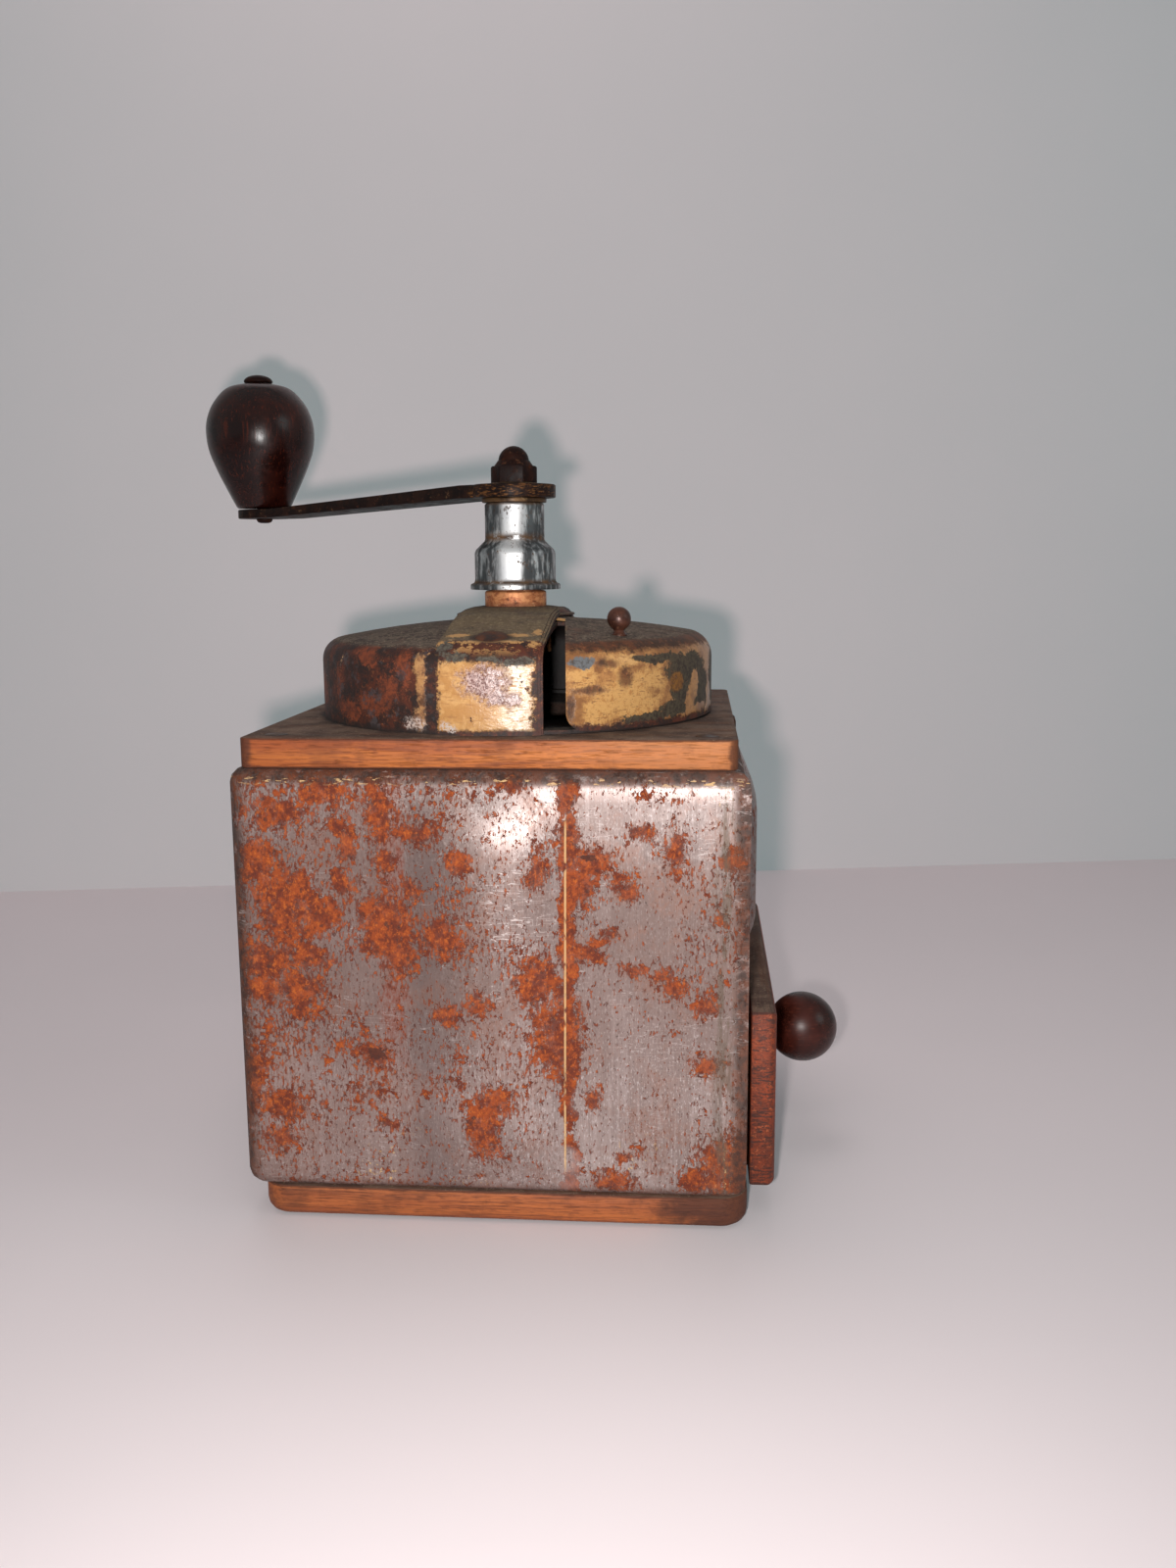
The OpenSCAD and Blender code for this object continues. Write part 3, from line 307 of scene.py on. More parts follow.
def wood(name, along, pale, mid, dark, dirt, seed, dusty, dirt_amount, edges=(), hopper=False, ends=False,
         bleached=None):
    """Beech with its grain along one axis, stains and dirt. edges lists (axis, place, width)."""
    k = Look(name)

    def stretched(long, wide):
        return tuple(long if a == along else wide for a in "xyz")

    at = k.warped(1.6, 22, seed + 3)
    broad = k.noise(stretched(70, 5), 3, 0.6, seed, at)
    fine = k.noise(stretched(26, 0.55), 3, 0.6, seed + 1, at)
    rays = k.ramp(k.noise(stretched(2.6, 0.42), 1, 0.4, seed + 2), 0.58, 0.70)
    pores = k.ramp(k.noise(stretched(5.0, 0.22), 1, 0.5, seed + 4), 0.60, 0.70)
    col = k.mix(k.ramp(broad, 0.32, 0.70), pale, mid)
    col = k.mix(k.ramp(fine, 0.44, 0.68, 0, 0.65), col, dark)
    col = k.mix(k.mul(rays, 0.45), col, dark)
    col = k.mix(k.mul(pores, 0.35), col, dirt)
    if bleached:  # paler and yellower towards one end
        col = k.mix(k.ramp(k.x, 0, 48, 0, 0.40), col, bleached)
        col = k.mix(k.ramp(k.x, 0, -40, 0, 0.25), col, mid)
    if ends:
        col = end_grain(k, col, dirt, seed)
    stain = k.ramp(k.noise(17, 4, 0.62, seed + 7), 0.50, 0.72)
    soil = k.ramp(k.noise(6, 4, 0.7, seed + 9), 0.52, 0.70, 0, 0.6)
    dirty = k.mul(k.most(stain, soil), dirt_amount)
    for axis, place, width in edges:
        edge = k.near({"x": k.x, "y": k.y, "z": k.z}[axis], place, width)
        edge = k.m("ADD", edge, k.centred(k.noise(3.2, 3, 0.6, seed + 11), 0.9))
        dirty = k.most(dirty, k.ramp(edge, 0.30, 0.75, 0, 0.85))
    col = board_dust(k, k.mix(dirty, col, dirt), dusty, fine, broad, seed)
    if hopper:
        col = under_dome(k, col, seed)
    k.set("Base Color", col)
    k.set("Roughness", k.blend(dirty, 0.62, 0.82))
    h = k.m("SUBTRACT", k.m("MULTIPLY", fine, 0.8), k.mul(pores, 0.7))
    k.set("Normal", k.bump(h, 0.16, 0.8, k.bump(k.noise(9, 3, 0.6, seed + 15), 0.35, 0.5)))
    return k


# ---------------------------------------------------------------- sheet steel of the case

# ovals of rust on the front: centre x, centre z, radius along x, radius along z
FRONT_RUST = [
    (15.9, 44.2, 3.8, 6.8), (-43.0, 71.7, 3.6, 5.0), (-36, 69, 3.8, 2.6), (-47.8, 58.9, 4.0, 3.0),
    (-21.9, 90.8, 2.3, 5), (-21.8, 81.5, 1.9, 2.1), (-21.6, 67.8, 3.8, 5.0), (1.6, 30.2, 2.6, 2.4),
    (-1.1, 23.1, 2.1, 4.6), (-24.4, 38.9, 2.6, 2.2), (22.1, 82, 4, 2.1), (32.7, 87.9, 2.2, 1.6),
    (17.1, 94.7, 1.8, 3.3), (20, 76.8, 2, 2.7), (10.5, 79.4, 2, 2.7), (29.7, 75.5, 2.2, 1.9),
    (38.7, 55, 2, 1.7), (46.1, 38, 3.1, 1.9), (50, 16.2, 3.7, 4), (26.5, 11.2, 3.8, 1.8),
    (46.8, 11.7, 3.3, 2.2), (-40.9, 53.4, 4.3, 2.6), (-45.1, 26.4, 4.3, 2.7), (-46.1, 18.9, 3.1, 2.7),
    (-48.2, 53.3, 2.6, 2.2), (-9.6, 65.5, 2.8, 2.8), (39.7, 84.3, 2.4, 3.7), (51.1, 82.3, 1.6, 2),
    (-33.2, 95.9, 2.9, 1.4), (-4.8, 81.7, 1.8, 1.7), (10.8, 56.6, 2.7, 3.4), (21.5, 62.1, 2.5, 1.7),
    (17.5, 88.5, 1.6, 5.0), (-51.4, 31.1, 1.7, 4.9), (5.7, 98.2, 2, 1.2), (-29.9, 76.1, 2.1, 1.7),
    (31, 58.4, 2.2, 1.3), (36.5, 57.5, 1.8, 1.4), (-13.5, 87.5, 2.8, 1.9), (-1.5, 51.5, 2.2, 1.5),
    (-8.5, 49.5, 2.6, 2.0), (-18.8, 60.5, 2.6, 3.6), (-15.5, 75.5, 2.2, 1.6), (-22.6, 23.2, 1.7, 1.0),
    (22.5, 30.0, 1.4, 2.0), (29.0, 17.0, 1.5, 1.1), (26, 66.5, 1.5, 1.2), (46, 50.5, 2.0, 1.8),
    (-37.5, 60, 3.0, 1.8), (-29, 84, 1.6, 3.0), (-48, 82, 2.0, 3.0), (-44, 91, 3.0, 1.7),
]
CREASE_X, LEFT_CREASE_X, LINE_X = 17.4, -20.0, 16.1  # folds of the front and its thin cream line, mm


def bare_steel(k, front, brush, cloud, grain):
    """Brushed sheet, with painted shade across its mid height, towards its left and on the left slope of the
    bulge.
    """
    streak = k.noise((1.3, 1.3, 34), 3, 0.55, 2)
    col = k.mix(k.ramp(cloud, 0.36, 0.62), rgb(166, 149, 144), rgb(142, 123, 117))
    col = k.mix(k.ramp(brush, 0.38, 0.68, 0, 0.42), col, rgb(106, 92, 89))
    col = k.mix(k.ramp(grain, 0.54, 0.68, 0, 0.45), col, rgb(218, 209, 207))
    col = k.mix(k.ramp(streak, 0.46, 0.72, 0, 0.20), col, rgb(204, 192, 190))
    col = k.mix(k.ramp(streak, 0.50, 0.28, 0, 0.22), col, rgb(126, 108, 103))
    # painted shade: the sheet darkens towards its left, where the metal would reflect the dark room
    painted_shade_left = k.ramp(k.m("ADD", k.x, k.centred(cloud, 60)), 14, -30, 0, 0.40)
    col = k.mix(painted_shade_left, col, rgb(136, 108, 100))
    # painted shade: darker across the sheet's mid height, mottled by the cloud noise
    painted_shade_mid = k.mul(k.ramp(k.off(k.z, 64), 36, 8), k.ramp(cloud, 0.30, 0.55, 0.40, 0.62))
    col = k.mix(painted_shade_mid, col, rgb(112, 90, 83))
    # painted shade: the left slope of the bulge is made darker, as the dark room would show in it
    shade = k.mul(k.near(k.x, -12.5, 10), front, k.ramp(cloud, 0.30, 0.55, 0.5, 1.0))
    return k.mix(k.mul(shade, 0.55), col, rgb(112, 97, 94))


def steel_rust(k, front, ticks):
    """Masks: the case's rust, the halo of its patches and the stain down the left crease."""
    d = k.spots(FRONT_RUST, k.warped(4.5, 5, 10, 3))
    # upright ticks, dots and specks, which crowd round the patches
    where = k.noise(17, 4, 0.6, 8, k.warped(8, 7, 28))
    left = k.ramp(k.x, 25, -40, 0.0, 0.040)
    dense = k.m("ADD", k.ramp(where, 0.34, 0.66, -0.015, 0.075), left)
    dense = k.m("ADD", dense, k.mul(k.ramp(d, 2.5, 0.9, 0, 0.10), front))
    tick = k.ramp(k.m("ADD", ticks, dense), 0.630, 0.652)
    dot = k.ramp(k.m("ADD", k.noise((1.5, 1.5, 1.9), 4, 0.75, 9), dense), 0.665, 0.683)
    speck = k.noise(5.2, 5, 0.72, 19, k.warped(3, 4, 7, 3))
    small = k.ramp(k.m("ADD", speck, k.m("MULTIPLY", dense, 0.8)), 0.655, 0.672)
    # patches: each where the real one sits on the front, random ones on the other sides
    fray = k.m("ADD", k.centred(ticks, 2.1), k.centred(k.noise(2.4, 4, 0.75, 11), 1.9))
    frayed = k.m("ADD", d, fray)
    patch = k.mul(k.ramp(frayed, 0.90, 0.58, 0, 0.94), front)
    halo = k.mul(k.ramp(frayed, 1.7, 0.9, 0, 0.26), front)
    blob = k.m("ADD", k.noise(15, 4, 0.62, 12, k.warped(9, 8, 13, 3)), k.centred(ticks, 0.22))
    big = k.mul(k.ramp(blob, 0.632, 0.648), k.ramp(front, 1.0, 0.5))
    # the two creases of the front
    jag = k.centred(k.noise((3, 3, 5), 4, 0.75, 14), 10)
    crease = k.mul(k.ramp(k.m("ADD", k.off(k.x, CREASE_X), jag), 1.7, 1.1),
                   k.ramp(k.noise((30, 30, 15), 2, 0.5, 15), 0.36, 0.50), front)
    stain = k.mul(k.ramp(k.m("ADD", k.off(k.x, LEFT_CREASE_X), jag), 3.4, 1.2), front, k.ramp(k.z, 30, 50))
    return k.most(k.mul(tick, 0.88), dot, small, patch, big, crease), halo, stain


def case_rust_colour(k, tone):
    """Orange-brown rust with bright and dark grains."""
    speckle = k.noise((0.7, 0.7, 1.0), 3, 0.75, 17)
    col = k.mix(k.ramp(tone, 0.42, 0.58), rgb(148, 66, 24), rgb(104, 42, 22))
    col = k.mix(k.ramp(speckle, 0.54, 0.64, 0, 0.75), col, rgb(184, 94, 32))
    col = k.mix(k.ramp(speckle, 0.47, 0.36, 0, 0.62), col, rgb(76, 30, 18))
    return k.mix(k.ramp(k.noise(2.0, 3, 0.6, 18), 0.60, 0.68, 0, 0.7), col, rgb(66, 38, 32))


def left_over_paint(k, front):
    """What is left of the cream paint: all of it, and the chips along the top edge alone."""
    from_line = k.m("ADD", k.m("SUBTRACT", k.x, LINE_X), k.m("MULTIPLY", k.z, -0.009))
    line = k.mul(k.ramp(k.m("ABSOLUTE", from_line), 0.30, 0.12), front,
                 k.ramp(k.noise((4, 4, 7), 3, 0.75, 34), 0.40, 0.48), k.ramp(k.z, 12, 16),
                 k.ramp(k.z, 92, 88))
    chip = k.mul(k.ramp(k.noise((3.2, 3.2, 0.9), 3, 0.6, 20), 0.575, 0.60), k.near(k.z, 98.4, 1.3))
    low = k.mul(k.ramp(k.noise(1.3, 3, 0.7, 35), 0.60, 0.66),
                k.ramp(k.noise(16, 2, 0.5, 36), 0.52, 0.60), k.ramp(k.z, 26, 12))
    corner = k.mul(k.ramp(k.noise((0.8, 0.8, 1.4), 3, 0.7, 39), 0.62, 0.66),
                   k.near(k.x, 50.5, 3.5), k.most(k.ramp(k.z, 80, 90), k.ramp(k.z, 26, 16)))
    return k.most(k.mul(line, 0.85), chip, k.mul(low, 0.8), k.mul(corner, 0.8)), chip


def case_grime_and_shade(k):
    """Mask of brown dirt and painted shade in the rounded corners and along the rolls."""
    side = k.most(k.ramp(k.x, -49.6, -53.6), k.ramp(k.x, 50.6, 53.4))
    side = k.mul(side, k.ramp(k.m("ABSOLUTE", k.y), 46, 51))
    rim = k.most(side, k.mul(k.ramp(k.z, 10.6, 7.8), 0.8), k.ramp(k.z, 96.8, 98.8))
    return k.mul(rim, k.ramp(k.noise((4.5, 4.5, 3.0), 4, 0.7, 21), 0.30, 0.46))


def case_scratches(k, front, rust):
    """Mask of the fine scratches, most of them across the right half of the bulge."""
    bulge = k.mul(k.ramp(k.spots([(6, 71, 8, 13)], k.mm), 1.1, 0.6), front)
    where = k.most(k.ramp(k.noise(9, 2, 0.5, 38), 0.54, 0.62, 0, 0.6), bulge)
    line = k.ramp(k.off(k.noise((9, 9, 1.1), 2, 0.5, 37), 0.5), 0.012, 0.003)
    return k.mul(line, where, k.ramp(rust, 0.5, 0.1))


def steel_case():
    """The bare steel sheet round the body."""
    k = Look("case_steel")
    front = k.ramp(k.y, -46, -50)
    brush = k.noise((0.20, 0.20, 6), 4, 0.7, 1)
    cloud = k.noise(26, 4, 0.6, 3)
    grain = k.noise((0.36, 0.36, 1.0), 2, 0.6, 24)
    ticks = k.noise((0.62, 0.62, 1.5), 3, 0.7, 5)
    tone = k.noise(3.0, 4, 0.7, 16)
    rust, halo, stain = steel_rust(k, front, ticks)
    paint, chip = left_over_paint(k, front)
    grime_and_shade = case_grime_and_shade(k)
    scratch = case_scratches(k, front, rust)
    film = k.mul(k.ramp(k.noise(12, 5, 0.66, 4, k.warped(8, 10)), 0.47, 0.60), k.ramp(ticks, 0.36, 0.56))
    core = k.ragged([(-24.4, 38.9, 1.9, 1.6), (21.5, 82.4, 1.7, 0.7)], k.warped(2, 3, 33),
                    k.noise(1.1, 4, 0.75, 40), 0.05, 2.2)
    fleck = k.ramp(k.noise((0.6, 0.6, 1.1), 3, 0.7, 6), 0.645, 0.68)
    olive = k.mul(k.near(k.x, 50.2, 4.2), k.ramp(k.noise((2.4, 2.4, 16), 4, 0.65, 41), 0.44, 0.60), front)

    col = bare_steel(k, front, brush, cloud, grain)
    col = k.mix(k.mul(film, 0.42), col, rgb(140, 96, 78))
    col = k.mix(halo, col, rgb(142, 92, 72))
    col = k.mix(k.mul(stain, k.ramp(ticks, 0.38, 0.55, 0.15, 0.85)), col, rgb(122, 64, 48))
    col = k.mix(rust, col, case_rust_colour(k, tone))
    col = k.mix(k.mul(core, front, 0.85), col, rgb(66, 32, 24))
    col = k.mix(k.mul(fleck, 0.75), col, rgb(70, 46, 40))
    col = k.mix(paint, col, rgb(212, 172, 122))
    col = k.mix(k.mul(olive, 0.75), col, rgb(96, 82, 68))
    # dirt and painted shade: brown to near black in the rounded corners and along the rolls
    grime_and_shade_col = k.mix(k.ramp(tone, 0.4, 0.6), rgb(98, 54, 34), rgb(56, 38, 31))
    col = k.mix(k.mul(grime_and_shade, k.m("SUBTRACT", 0.88, chip)), col, grime_and_shade_col)
    col = k.mix(k.mul(scratch, 0.55), col, rgb(212, 202, 199))
    k.set("Base Color", col)

    cover = k.most(rust, k.mul(grime_and_shade, 0.8), paint, k.mul(stain, 0.6), k.mul(fleck, 0.6))
    k.set("Metallic", k.ramp(cover, 0.0, 1.0, 0.36, 0.0))
    rough = k.m("ADD", k.blend(k.ramp(cloud, 0.35, 0.65), 0.31, 0.39), k.m("MULTIPLY", film, 0.12))
    rough = k.m("ADD", rough, k.ramp(grain, 0.35, 0.7, -0.04, 0.10))
    k.set("Roughness", k.blend(cover, rough, 0.88))
    dents = k.bump(k.noise((20, 20, 27), 2, 0.5, 22), 0.75, 0.6)
    lines = k.bump(k.m("ADD", k.m("ADD", brush, grain), scratch), 0.014, 0.8, dents)
    crust = k.m("ADD", k.mul(rust, k.m("ADD", 0.5, k.noise(0.9, 4, 0.75, 23))), k.mul(paint, 0.8))
    k.set("Normal", k.bump(crust, 0.13, 1.0, lines))
    return k


# ---------------------------------------------------------------- painted sheet of the dome

def rusty_paint(name, seed):
    """Cream enamel over sheet iron: the material and its rust, enamel and two noises."""
    k = Look(name)
    tone = k.noise(5.0, 5, 0.72, seed, k.warped(5, 6, seed + 2, 3))
    fine = k.noise(1.0, 4, 0.75, seed + 1)
    rust_col = k.mix(k.ramp(tone, 0.40, 0.58), rgb(82, 38, 23), rgb(42, 23, 18))
    rust_col = k.mix(k.ramp(fine, 0.57, 0.68, 0, 0.7), rust_col, rgb(146, 86, 52))
    rust_col = k.mix(k.ramp(k.noise(2.6, 4, 0.72, seed + 4), 0.53, 0.64, 0, 0.85), rust_col,
                     rgb(31, 20, 17))
    enamel = k.mix(k.ramp(k.noise(6, 3, 0.6, seed + 5), 0.40, 0.64), rgb(212, 166, 112), rgb(184, 134, 84))
    rub = k.noise((3.5, 3.5, 0.35), 3, 0.6, seed + 6)
    enamel = k.mix(k.ramp(rub, 0.56, 0.70, 0, 0.55), enamel, rgb(132, 88, 58))
    enamel = k.mix(k.ramp(fine, 0.61, 0.68, 0, 0.7), enamel, rgb(104, 68, 48))
    enamel = k.mix(k.ramp(k.noise(0.5, 2, 0.6, seed + 7), 0.64, 0.70, 0, 0.6), enamel, rgb(84, 56, 42))
    return k, rust_col, enamel, tone, fine


def dusty_top(k, col, seed, low, pale=None):
    """Grey-brown dust on what faces up."""
    up = k.ramp(k.nz, low, 0.985)
    dust = k.mix(k.ramp(k.noise(3.5, 4, 0.72, seed), 0.38, 0.60), rgb(62, 50, 43), rgb(98, 84, 72))
    dust = k.mix(k.ramp(k.noise(1.3, 3, 0.8, seed + 3), 0.55, 0.62, 0, 0.7), dust, rgb(42, 30, 26))
    dust = k.mix(k.ramp(k.noise(0.8, 3, 0.8, seed + 1), 0.54, 0.62, 0, 0.85), dust,
                 pale or rgb(146, 128, 108))
    amount = k.mul(up, k.ramp(k.noise(6, 4, 0.7, seed + 2), 0.30, 0.52, 0.45, 1.0))
    return k.mix(amount, col, dust), amount


def close_paint(k, col, rust, dust, tone, fine, relief):
    """Shared end of the three enamelled sheets: painted shade inside and underneath, gloss and relief."""
    # painted shade: faces turned in towards the spindle, and faces turned down, are made nearly black
    col = k.mix(k.mul(k.inside(), 0.95), col, rgb(18, 12, 11))
    k.set("Base Color", col)
    k.set("Roughness", k.blend(dust, k.blend(rust, 0.29, 0.66), 0.9))
    h = k.m("ADD", k.m("MULTIPLY", relief, 0.8), k.m("MULTIPLY", fine, 0.5))
    k.set("Normal", k.bump(h, 0.15, 0.9, k.bump(tone, 0.35, 0.55)))
    return k


def dome_cover_look():
    """The fixed cover: brown rust with orange patches and the last flakes of cream."""
    k, rust_col, enamel, tone, fine = rusty_paint("dome_cover_rust", 31)
    at = k.rim(6, 5, 33)
    orange_at = [(-29, 112.5, 6, 2.4), (-37, 110.6, 4, 2.2), (-31, 123, 4, 1.5), (-24, 115.5, 2.5, 4),
                 (-42, 117, 1.6, 4), (-19.5, 120, 1.5, 4), (-56, 114, 5, 4), (-76, 113, 7, 3),
                 (-101, 115, 6, 4), (70, 114, 8, 4), (104, 112, 9, 3)]
    orange = k.ragged(orange_at, at, fine, 0.30, 3.2)
    orange_col = k.mix(k.ramp(fine, 0.42, 0.62), rgb(134, 66, 38), rgb(92, 44, 30))
    col = k.mix(k.mul(orange, 0.85), rust_col, orange_col)
    # tan strip beside the bridge, a few flakes elsewhere
    strip = k.ragged([(-15.4, 121.5, 1.4, 2.6), (-15.0, 116, 1.1, 5.5), (-15.6, 110, 1.7, 2.6)],
                     k.rim(2.4, 3, 36), fine, 0.3, 2.2)
    flakes = k.ramp(k.noise(4, 5, 0.72, 38), 0.665, 0.68)
    slate = k.mul(k.ramp(k.noise(5, 5, 0.75, 43), 0.56, 0.62), 0.7)
    col = k.mix(slate, col, rgb(72, 66, 68))
    cream = k.most(strip, flakes)
    col = k.mix(cream, col, k.mix(k.ramp(tone, 0.42, 0.60), enamel, rgb(150, 104, 72)))
    col = k.mix(k.ramp(tone, 0.50, 0.62, 0, 0.6), col, rgb(36, 24, 22))
    white = k.mul(k.ragged([(-16.6, 108.9, 2.6, 1.4)], k.rim(1.6, 2, 45), fine, 0.3, 1.8),
                  k.ramp(k.noise(0.6, 3, 0.8, 46), 0.40, 0.58))
    col = k.mix(white, col, rgb(206, 186, 176))
    col, dust = dusty_top(k, col, 41, 0.80)
    col = k.mix(k.mul(k.ramp(k.z, 108.4, 107.0), 0.85), col, rgb(34, 24, 21))
    return close_paint(k, col, k.m("SUBTRACT", 1.0, cream), dust, tone, fine, cream)


def bridge_look():
    """The strap: cream enamel on its front with a painted highlight, rusted along its edges and dusty on its
    crown.
    """
    k, rust_col, enamel, tone, fine = rusty_paint("bridge_enamel", 52)
    jag = k.m("ADD", k.centred(k.noise(3, 5, 0.8, 55), 7.0), k.centred(fine, 1.6))
    bright = k.mix(k.ramp(tone, 0.36, 0.58), rgb(214, 166, 107), rgb(190, 138, 81))
    # painted highlight: a pale, streaky band on the strap's front near x = 6 mm, where the lamp's glint
    # falls
    painted_highlight = k.mul(k.near(k.x, 6.2, 5.0), k.ramp(k.noise((1.6, 1.6, 0.35), 3, 0.7, 68), 0.38, 0.56), 0.9)
    bright = k.mix(painted_highlight, bright, rgb(250, 234, 214))
    enamel = k.mix(k.ramp(k.noise((3, 3, 0.4), 3, 0.6, 56), 0.54, 0.68, 0, 0.5), bright, rgb(150, 100, 62))
    right = k.ramp(k.m("ADD", k.x, jag), 9.0, 9.9)
    left = k.ramp(k.m("ADD", k.x, jag), -10.2, -11.2)
    top = k.ramp(k.m("ADD", k.z, jag), 121.6, 122.8)
    foot = k.ramp(k.m("ADD", k.z, k.m("MULTIPLY", jag, 0.35)), 108.4, 107.6)
    spots = k.ramp(k.noise(2.2, 4, 0.75, 57), 0.655, 0.675)
    rust = k.most(right, left, top, foot, spots)
    # bare patch with a pale bloom and red-brown specks
    at = k.warped(3.4, 3.2, 58, 3)
    bare = k.mul(k.ragged([(-0.4, 118.2, 5.0, 3.4), (2.0, 115.2, 2.6, 2.0), (5.4, 114.2, 1.7, 1.5)], at,
                          fine, 0.35, 2.0), k.ramp(k.y, -38, -42))
    bloom = k.mix(k.ramp(k.noise(0.55, 3, 0.8, 59), 0.40, 0.60), rgb(206, 176, 168), rgb(106, 62, 54))
    col = k.mix(rust, enamel, rust_col)
    col = k.mix(bare, col, bloom)
    salt = k.mul(k.ragged([(-8.4, 108.6, 1.8, 1.0)], at, fine, 0.3, 1.6), k.ramp(k.y, -38, -42),
                 k.ramp(k.noise(0.6, 3, 0.8, 67), 0.40, 0.56))
    col = k.mix(salt, col, rgb(206, 190, 180))
    slate = k.mul(k.ragged([(6.5, 122.4, 3.4, 1.0), (0.5, 122.9, 3.0, 0.7), (-7, 123.4, 2.4, 0.9),
                            (-9.6, 126, 1.6, 2.2)], at, fine, 0.2, 2.2), k.ramp(k.y, -36, -40))
    col = k.mix(slate, col, k.mix(k.ramp(fine, 0.42, 0.60), rgb(90, 84, 74), rgb(60, 48, 42)))
    # flakes of cream left along the shoulder, and on the crown round the front rivet
    left_over = k.mul(k.ramp(k.noise((3.4, 3.4, 1.8), 5, 0.75, 65), 0.51, 0.535), k.near(k.z, 126.4, 3.4),
                      k.ramp(k.y, -36, -40))
    col = k.mix(left_over, col, rgb(190, 142, 88))
    flat_at = [(-7.6, -38.5, 2.4, 1.4), (5.4, -38.6, 3.0, 1.3), (0, -43.4, 4.6, 0.7), (9.4, -35.5, 1.0, 2.4)]
    plan = k.vec("MULTIPLY_ADD", k.warped(2.4, 3, 61, 3), (1, 0, 0), k.swapped())
    flat = k.ragged(flat_at, plan, fine, 0.2, 2.6)
    col, dust = dusty_top(k, col, 62, 0.90, rgb(164, 146, 116))
    khaki = k.mul(dust, k.ramp(k.noise(7, 3, 0.6, 66), 0.34, 0.56, 0.2, 0.8))
    col = k.mix(khaki, col, k.mix(k.ramp(fine, 0.5, 0.66), rgb(110, 92, 68), rgb(152, 132, 100)))
    scrape = k.ramp(k.noise((0.9, 3.2, 1.0), 4, 0.78, 70), 0.55, 0.62, 0, 0.65)
    col = k.mix(k.mul(khaki, scrape), col, rgb(78, 56, 42))
    col = k.mix(k.mul(flat, k.ramp(k.nz, 0.8, 0.9)), col, rgb(196, 150, 98))
    rivet_ring = k.ramp(k.spots([(0, -40.5, 5.2, 4.2), (0, 40.5, 5.2, 4.2)], k.mm, "xy"), 1.15, 0.7)
    col = k.mix(k.mul(rivet_ring, k.ramp(k.nz, 0.8, 0.9), 0.9), col, rgb(52, 34, 28))
    return close_paint(k, col, rust, k.mul(dust, 0.8), tone, fine, k.m("SUBTRACT", 1.0, k.most(rust, bare)))


def door_look():
    """The shutter: yellowed cream enamel, worn to slate grey on the right."""
    k, rust_col, enamel, tone, fine = rusty_paint("door_enamel", 72)
    at = k.rim(4.2, 3.6, 75)
    pale = k.ragged([(31, 113.8, 8, 4.2), (37, 117.8, 5.5, 2.8), (24, 111.5, 4.5, 2.6),
                     (19.5, 118.8, 3.2, 2.2), (30, 121.6, 6, 1.6)], at, tone, 0.35, 2.2)
    col = k.mix(pale, k.mix(k.ramp(tone, 0.40, 0.60), rgb(182, 130, 78), rgb(140, 94, 56)),
                k.mix(k.ramp(fine, 0.5, 0.64), rgb(206, 157, 96), rgb(178, 125, 71)))
    col = k.mix(k.ramp(k.noise((2.6, 2.6, 0.5), 3, 0.7, 76), 0.57, 0.66, 0, 0.7), col, rgb(122, 80, 54))
    col = k.mix(k.ramp(k.noise(0.6, 3, 0.7, 82), 0.61, 0.68, 0, 0.7), col, rgb(92, 60, 44))
    slate_at = [(50.5, 119.2, 8.5, 3.6), (58, 113.5, 4.5, 6), (47, 114.6, 3.2, 3.4), (45, 110.4, 5, 1.6),
                (36, 109.2, 7, 1.2), (41, 122.2, 9, 1.0), (70, 116, 6, 7)]
    slate = k.ragged(slate_at, at, fine, 0.08, 1.3)
    left_in = k.ragged([(53.6, 115.0, 1.9, 3.2), (57.2, 109.8, 3.0, 1.2), (50.5, 110.0, 1.4, 1.2),
                        (64, 112, 2, 2.5)], at, fine, 0.1, 1.0)
    slate = k.m("MULTIPLY", slate, k.m("SUBTRACT", 1.0, left_in))
    oval = k.ragged([(19.8, 122.0, 2.9, 1.2)], k.rim(2.2, 3, 78), fine, 0.12, 1.4)
    smudge = k.ragged([(21.5, 115.9, 3.9, 0.8), (17.2, 112.5, 0.8, 2.6), (30, 118.6, 1.6, 2.2),
                       (26, 121.6, 2.2, 1.0)], k.rim(2.4, 3, 79), fine, 0.5, 1.6)
    jag = k.m("ADD", k.centred(k.noise(3.2, 5, 0.78, 77), 4.5), k.centred(fine, 1.4))
    foot = k.ramp(k.m("ADD", k.z, jag), 109.0, 108.2)
    top = k.ramp(k.m("ADD", k.z, jag), 123.4, 124.6, 0, 0.9)
    lip = k.mul(k.ramp(k.m("ADD", k.x, k.m("MULTIPLY", jag, 0.06)), 15.2, 14.6), 0.7)
    rust = k.most(foot, k.mul(smudge, 0.8), top)
    col = k.mix(slate, col, k.mix(k.ramp(fine, 0.42, 0.60), rgb(77, 66, 50), rgb(50, 38, 29)))
    col = k.mix(rust, col, rust_col)
    col = k.mix(oval, col, k.mix(k.ramp(fine, 0.44, 0.64), rgb(108, 110, 112), rgb(70, 62, 58)))
    ochre = k.ragged([(45.6, 116.4, 2.5, 2.3)], k.rim(1.2, 3, 80), fine, 0.2, 0.5)
    col = k.mix(k.mul(ochre, 0.9), col, k.mix(k.ramp(fine, 0.4, 0.6), rgb(140, 92, 36), rgb(106, 66, 32)))
    col = k.mix(lip, col, rgb(206, 158, 104))
    col, dust = dusty_top(k, col, 84, 0.90)
    return close_paint(k, col, k.most(rust, slate), dust, tone, fine,
                       k.m("SUBTRACT", 1.0, k.most(rust, slate)))


# ---------------------------------------------------------------- metal small parts

